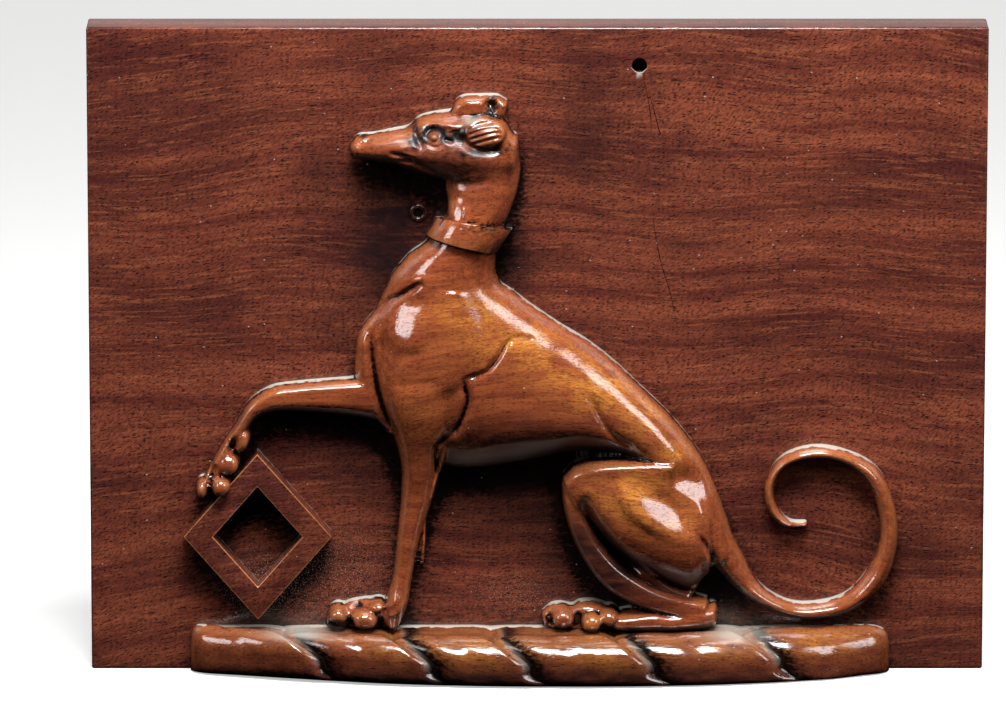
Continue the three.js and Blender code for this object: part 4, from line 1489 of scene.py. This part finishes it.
def wood_dirt_and_painted_light(tree, place, mark_of, dashes, dusty):
    """The colour of the wood, with edges, pores, stains, old wax, painted shade and dust laid over it in
    turn.
    """
    board = ground_wood(tree, place)
    figure = figure_wood(tree, place, mark_of["worn_and_sheen"])
    shown = node(tree, "MapRange", {0: mark_of["figure"], 3: 0.85, 4: 0.55})[0]
    wood = laid_over(tree, board, figure, mark_of["figure"])
    # Lighter edges: wear and a painted highlight
    wood = laid_over(tree, wood, colour("#d08a52"), mark_of["rubbed_and_highlight"], 0.8)
    wood = laid_over(tree, wood, colour("#1c0e0f"), dashes, shown)
    # Real stains and painted shadow on the ground, painted shade on the figure
    wood = laid_over(tree, wood, colour("#201416"), stains_and_shade(tree, place, mark_of["stained_and_shaded"]))
    # Near black: old wax and painted shade
    wood = laid_over(tree, wood, colour("#120a0a"), dark_wax_and_shade(tree, place, mark_of["wax_and_shade"]))
    return laid_over(tree, wood, colour("#c4c0b4"), dusty, 0.85)


def polished_mahogany():
    """Wood, gloss and a fine bump in one material, which reads the marks on the vertices."""
    made = bpy.data.materials.new("mahogany, waxed over shellac")
    made.use_nodes = True
    tree = made.node_tree
    shader = tree.nodes["Principled BSDF"]
    mark_of = {n: node(tree, "Attribute", attribute_name=n)["Fac"] for n in MARKS}
    place = grain_place(tree)
    dashes = node(tree, "Math", {
        0: pores(tree, place, PORE_LENGTH, PORE_WIDTH, SHORT_PORES),
        1: pores(tree, place, 3.0 * PORE_LENGTH, PORE_WIDTH, LONG_PORES),
    }, operation="MAXIMUM")[0]
    dusty = dust(tree, place, mark_of)
    tree.links.new(wood_dirt_and_painted_light(tree, place, mark_of, dashes, dusty), shader.inputs["Base Color"])
    # Roughness: polished figure, plainer ground, dull where dust or stale wax lies
    gloss = node(tree, "MapRange", {0: mark_of["figure"], 3: 0.25, 4: 0.1})[0]
    dull = node(tree, "Math", {0: dusty, 1: mark_of["dull"]}, operation="MAXIMUM")[0]
    rough = node(tree, "Math", {0: dull, 1: 0.3, 2: gloss}, operation="MULTIPLY_ADD")[0]
    tree.links.new(rough, shader.inputs["Roughness"])
    # Bump: fibres stand up and pores are sunk
    fibres = streaks(tree, place, 7, 0.6, 0.3, 0.7)
    relief = node(tree, "Math", {0: fibres, 1: dashes}, operation="SUBTRACT")[0]
    bump = node(tree, "Bump", {"Height": relief, "Strength": 0.35, "Distance": FIBRE_DEPTH * MM})
    tree.links.new(bump["Normal"], shader.inputs["Normal"])
    tree.links.new(bump["Normal"], shader.inputs["Coat Normal"])
    # Coat: built-up wax, missing from the bare ground, the dull places and where old wax and painted shade
    # lie
    bare = node(tree, "MapRange", {0: mark_of["figure"], 3: 0.6, 4: 0.0})[0]
    unpolished = node(tree, "Math", {0: dull, 1: mark_of["wax_and_shade"]}, operation="MAXIMUM")[0]
    unpolished = node(tree, "Math", {0: unpolished, 1: bare}, operation="MAXIMUM")[0]
    coat = node(tree, "Math", {0: unpolished, 1: -COAT, 2: COAT}, operation="MULTIPLY_ADD")[0]
    tree.links.new(coat, shader.inputs["Coat Weight"])
    shader.inputs["IOR"].default_value = 1.5
    shader.inputs["Specular IOR Level"].default_value = 0.65
    shader.inputs["Coat Roughness"].default_value = 0.06
    shader.inputs["Coat IOR"].default_value = 1.8
    return made


panel.data.materials.clear()
panel.data.materials.append(polished_mahogany())
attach(panel, "root")
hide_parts(BOARD)
print("mahogany laid on the panel, reading", len(MARKS), "marks")

# %% [markdown]
# ## Table, light and camera
# The panel stands on plain white paper in a bright room. Paper that only reflects would need far more
# light than the wood can bear, so this one glows a little by itself, and it is kept out of the wood's
# reflections and off the light on the wood.
#
# A polished relief shows its form by the lamps that it mirrors. The overhead softbox draws the long
# light along the hound's back and on the torse. A narrow box on the right and a wider one on the left
# put the lights on haunch, chest and neck. A wide, weak light behind brightens the table and the top
# edge. The camera stands far off with a long lens, which keeps the board's sides nearly parallel, and
# it looks down by 12 degrees.

# %% Floor
FLOOR_REACH = 3.0


def white_paper():
    """Matt white paper that glows a little."""
    made = bpy.data.materials.new("white paper, lit from below")
    made.use_nodes = True
    shader = made.node_tree.nodes["Principled BSDF"]
    shader.inputs["Base Color"].default_value = colour("#f2f2f0")
    shader.inputs["Roughness"].default_value = 0.7
    shader.inputs["Emission Color"].default_value = (1, 1, 1, 1)
    shader.inputs["Emission Strength"].default_value = 0.45
    return made


def make_floor():
    """One flat sheet under the panel."""
    bm = bmesh.new()
    bmesh.ops.create_grid(bm, x_segments=1, y_segments=1, size=FLOOR_REACH)
    return mesh_object("floor", bm)


floor = make_floor()
floor.data.materials.append(white_paper())
floor.visible_glossy = False
floor.visible_diffuse = False
print("floor laid,", 2 * FLOOR_REACH, "m wide")

# %% Camera
CAMERA_PITCH = 12.0
CAMERA_DISTANCE = 3.2
CAMERA_LENS = 336.6
AIM = Vector((-0.011634, GROUND_Y, 0.110422))


def look(made, target):
    """Turns a camera or a light to face a point."""
    made.rotation_mode = "QUATERNION"
    made.rotation_quaternion = (target - made.location).to_track_quat("-Z", "Y")


camera = bpy.data.objects.new("camera", bpy.data.cameras.new("camera"))
bpy.context.scene.collection.objects.link(camera)
pitch = math.radians(CAMERA_PITCH)
camera.location = AIM + CAMERA_DISTANCE * Vector((0, -math.cos(pitch), math.sin(pitch)))
look(camera, AIM)
camera.data.lens = CAMERA_LENS
camera.data.sensor_width = 36
camera.data.clip_start = 0.1
camera.data.clip_end = 20
bpy.context.scene.camera = camera
print("camera", round(camera.location.z, 2), "m above the table")

# %% Lights
def softbox(name, place, width, height, power, target=AIM):
    """A flat light of a size in metres and a power in watts, placed from the point that it faces."""
    data = bpy.data.lights.new(name, "AREA")
    data.shape = "RECTANGLE"
    data.size = width
    data.size_y = height
    data.energy = power
    made = bpy.data.objects.new(name, data)
    bpy.context.scene.collection.objects.link(made)
    made.location = target + Vector(place)
    look(made, target)
    return made


softbox("overhead softbox", (0.06, -0.45, 0.89), 0.50, 0.42, 18)
softbox("right strip box", (0.72, -0.47, 0.50), 0.34, 0.55, 3.2)
softbox("left softbox", (-0.75, -0.47, 0.46), 0.40, 0.40, 2.7)
back = softbox("back wash", (0.0, 1.7, 0.55), 3.0, 0.9, 3.6)
back.visible_camera = False
world = bpy.data.worlds.new("studio")
bpy.context.scene.world = world
world.use_nodes = True
world.node_tree.nodes["Background"].inputs["Color"].default_value = (1, 1, 1, 1)
world.node_tree.nodes["Background"].inputs["Strength"].default_value = 0.05
world.cycles_visibility.glossy = False
bpy.context.scene.view_settings.view_transform = "Standard"
print("lights set")
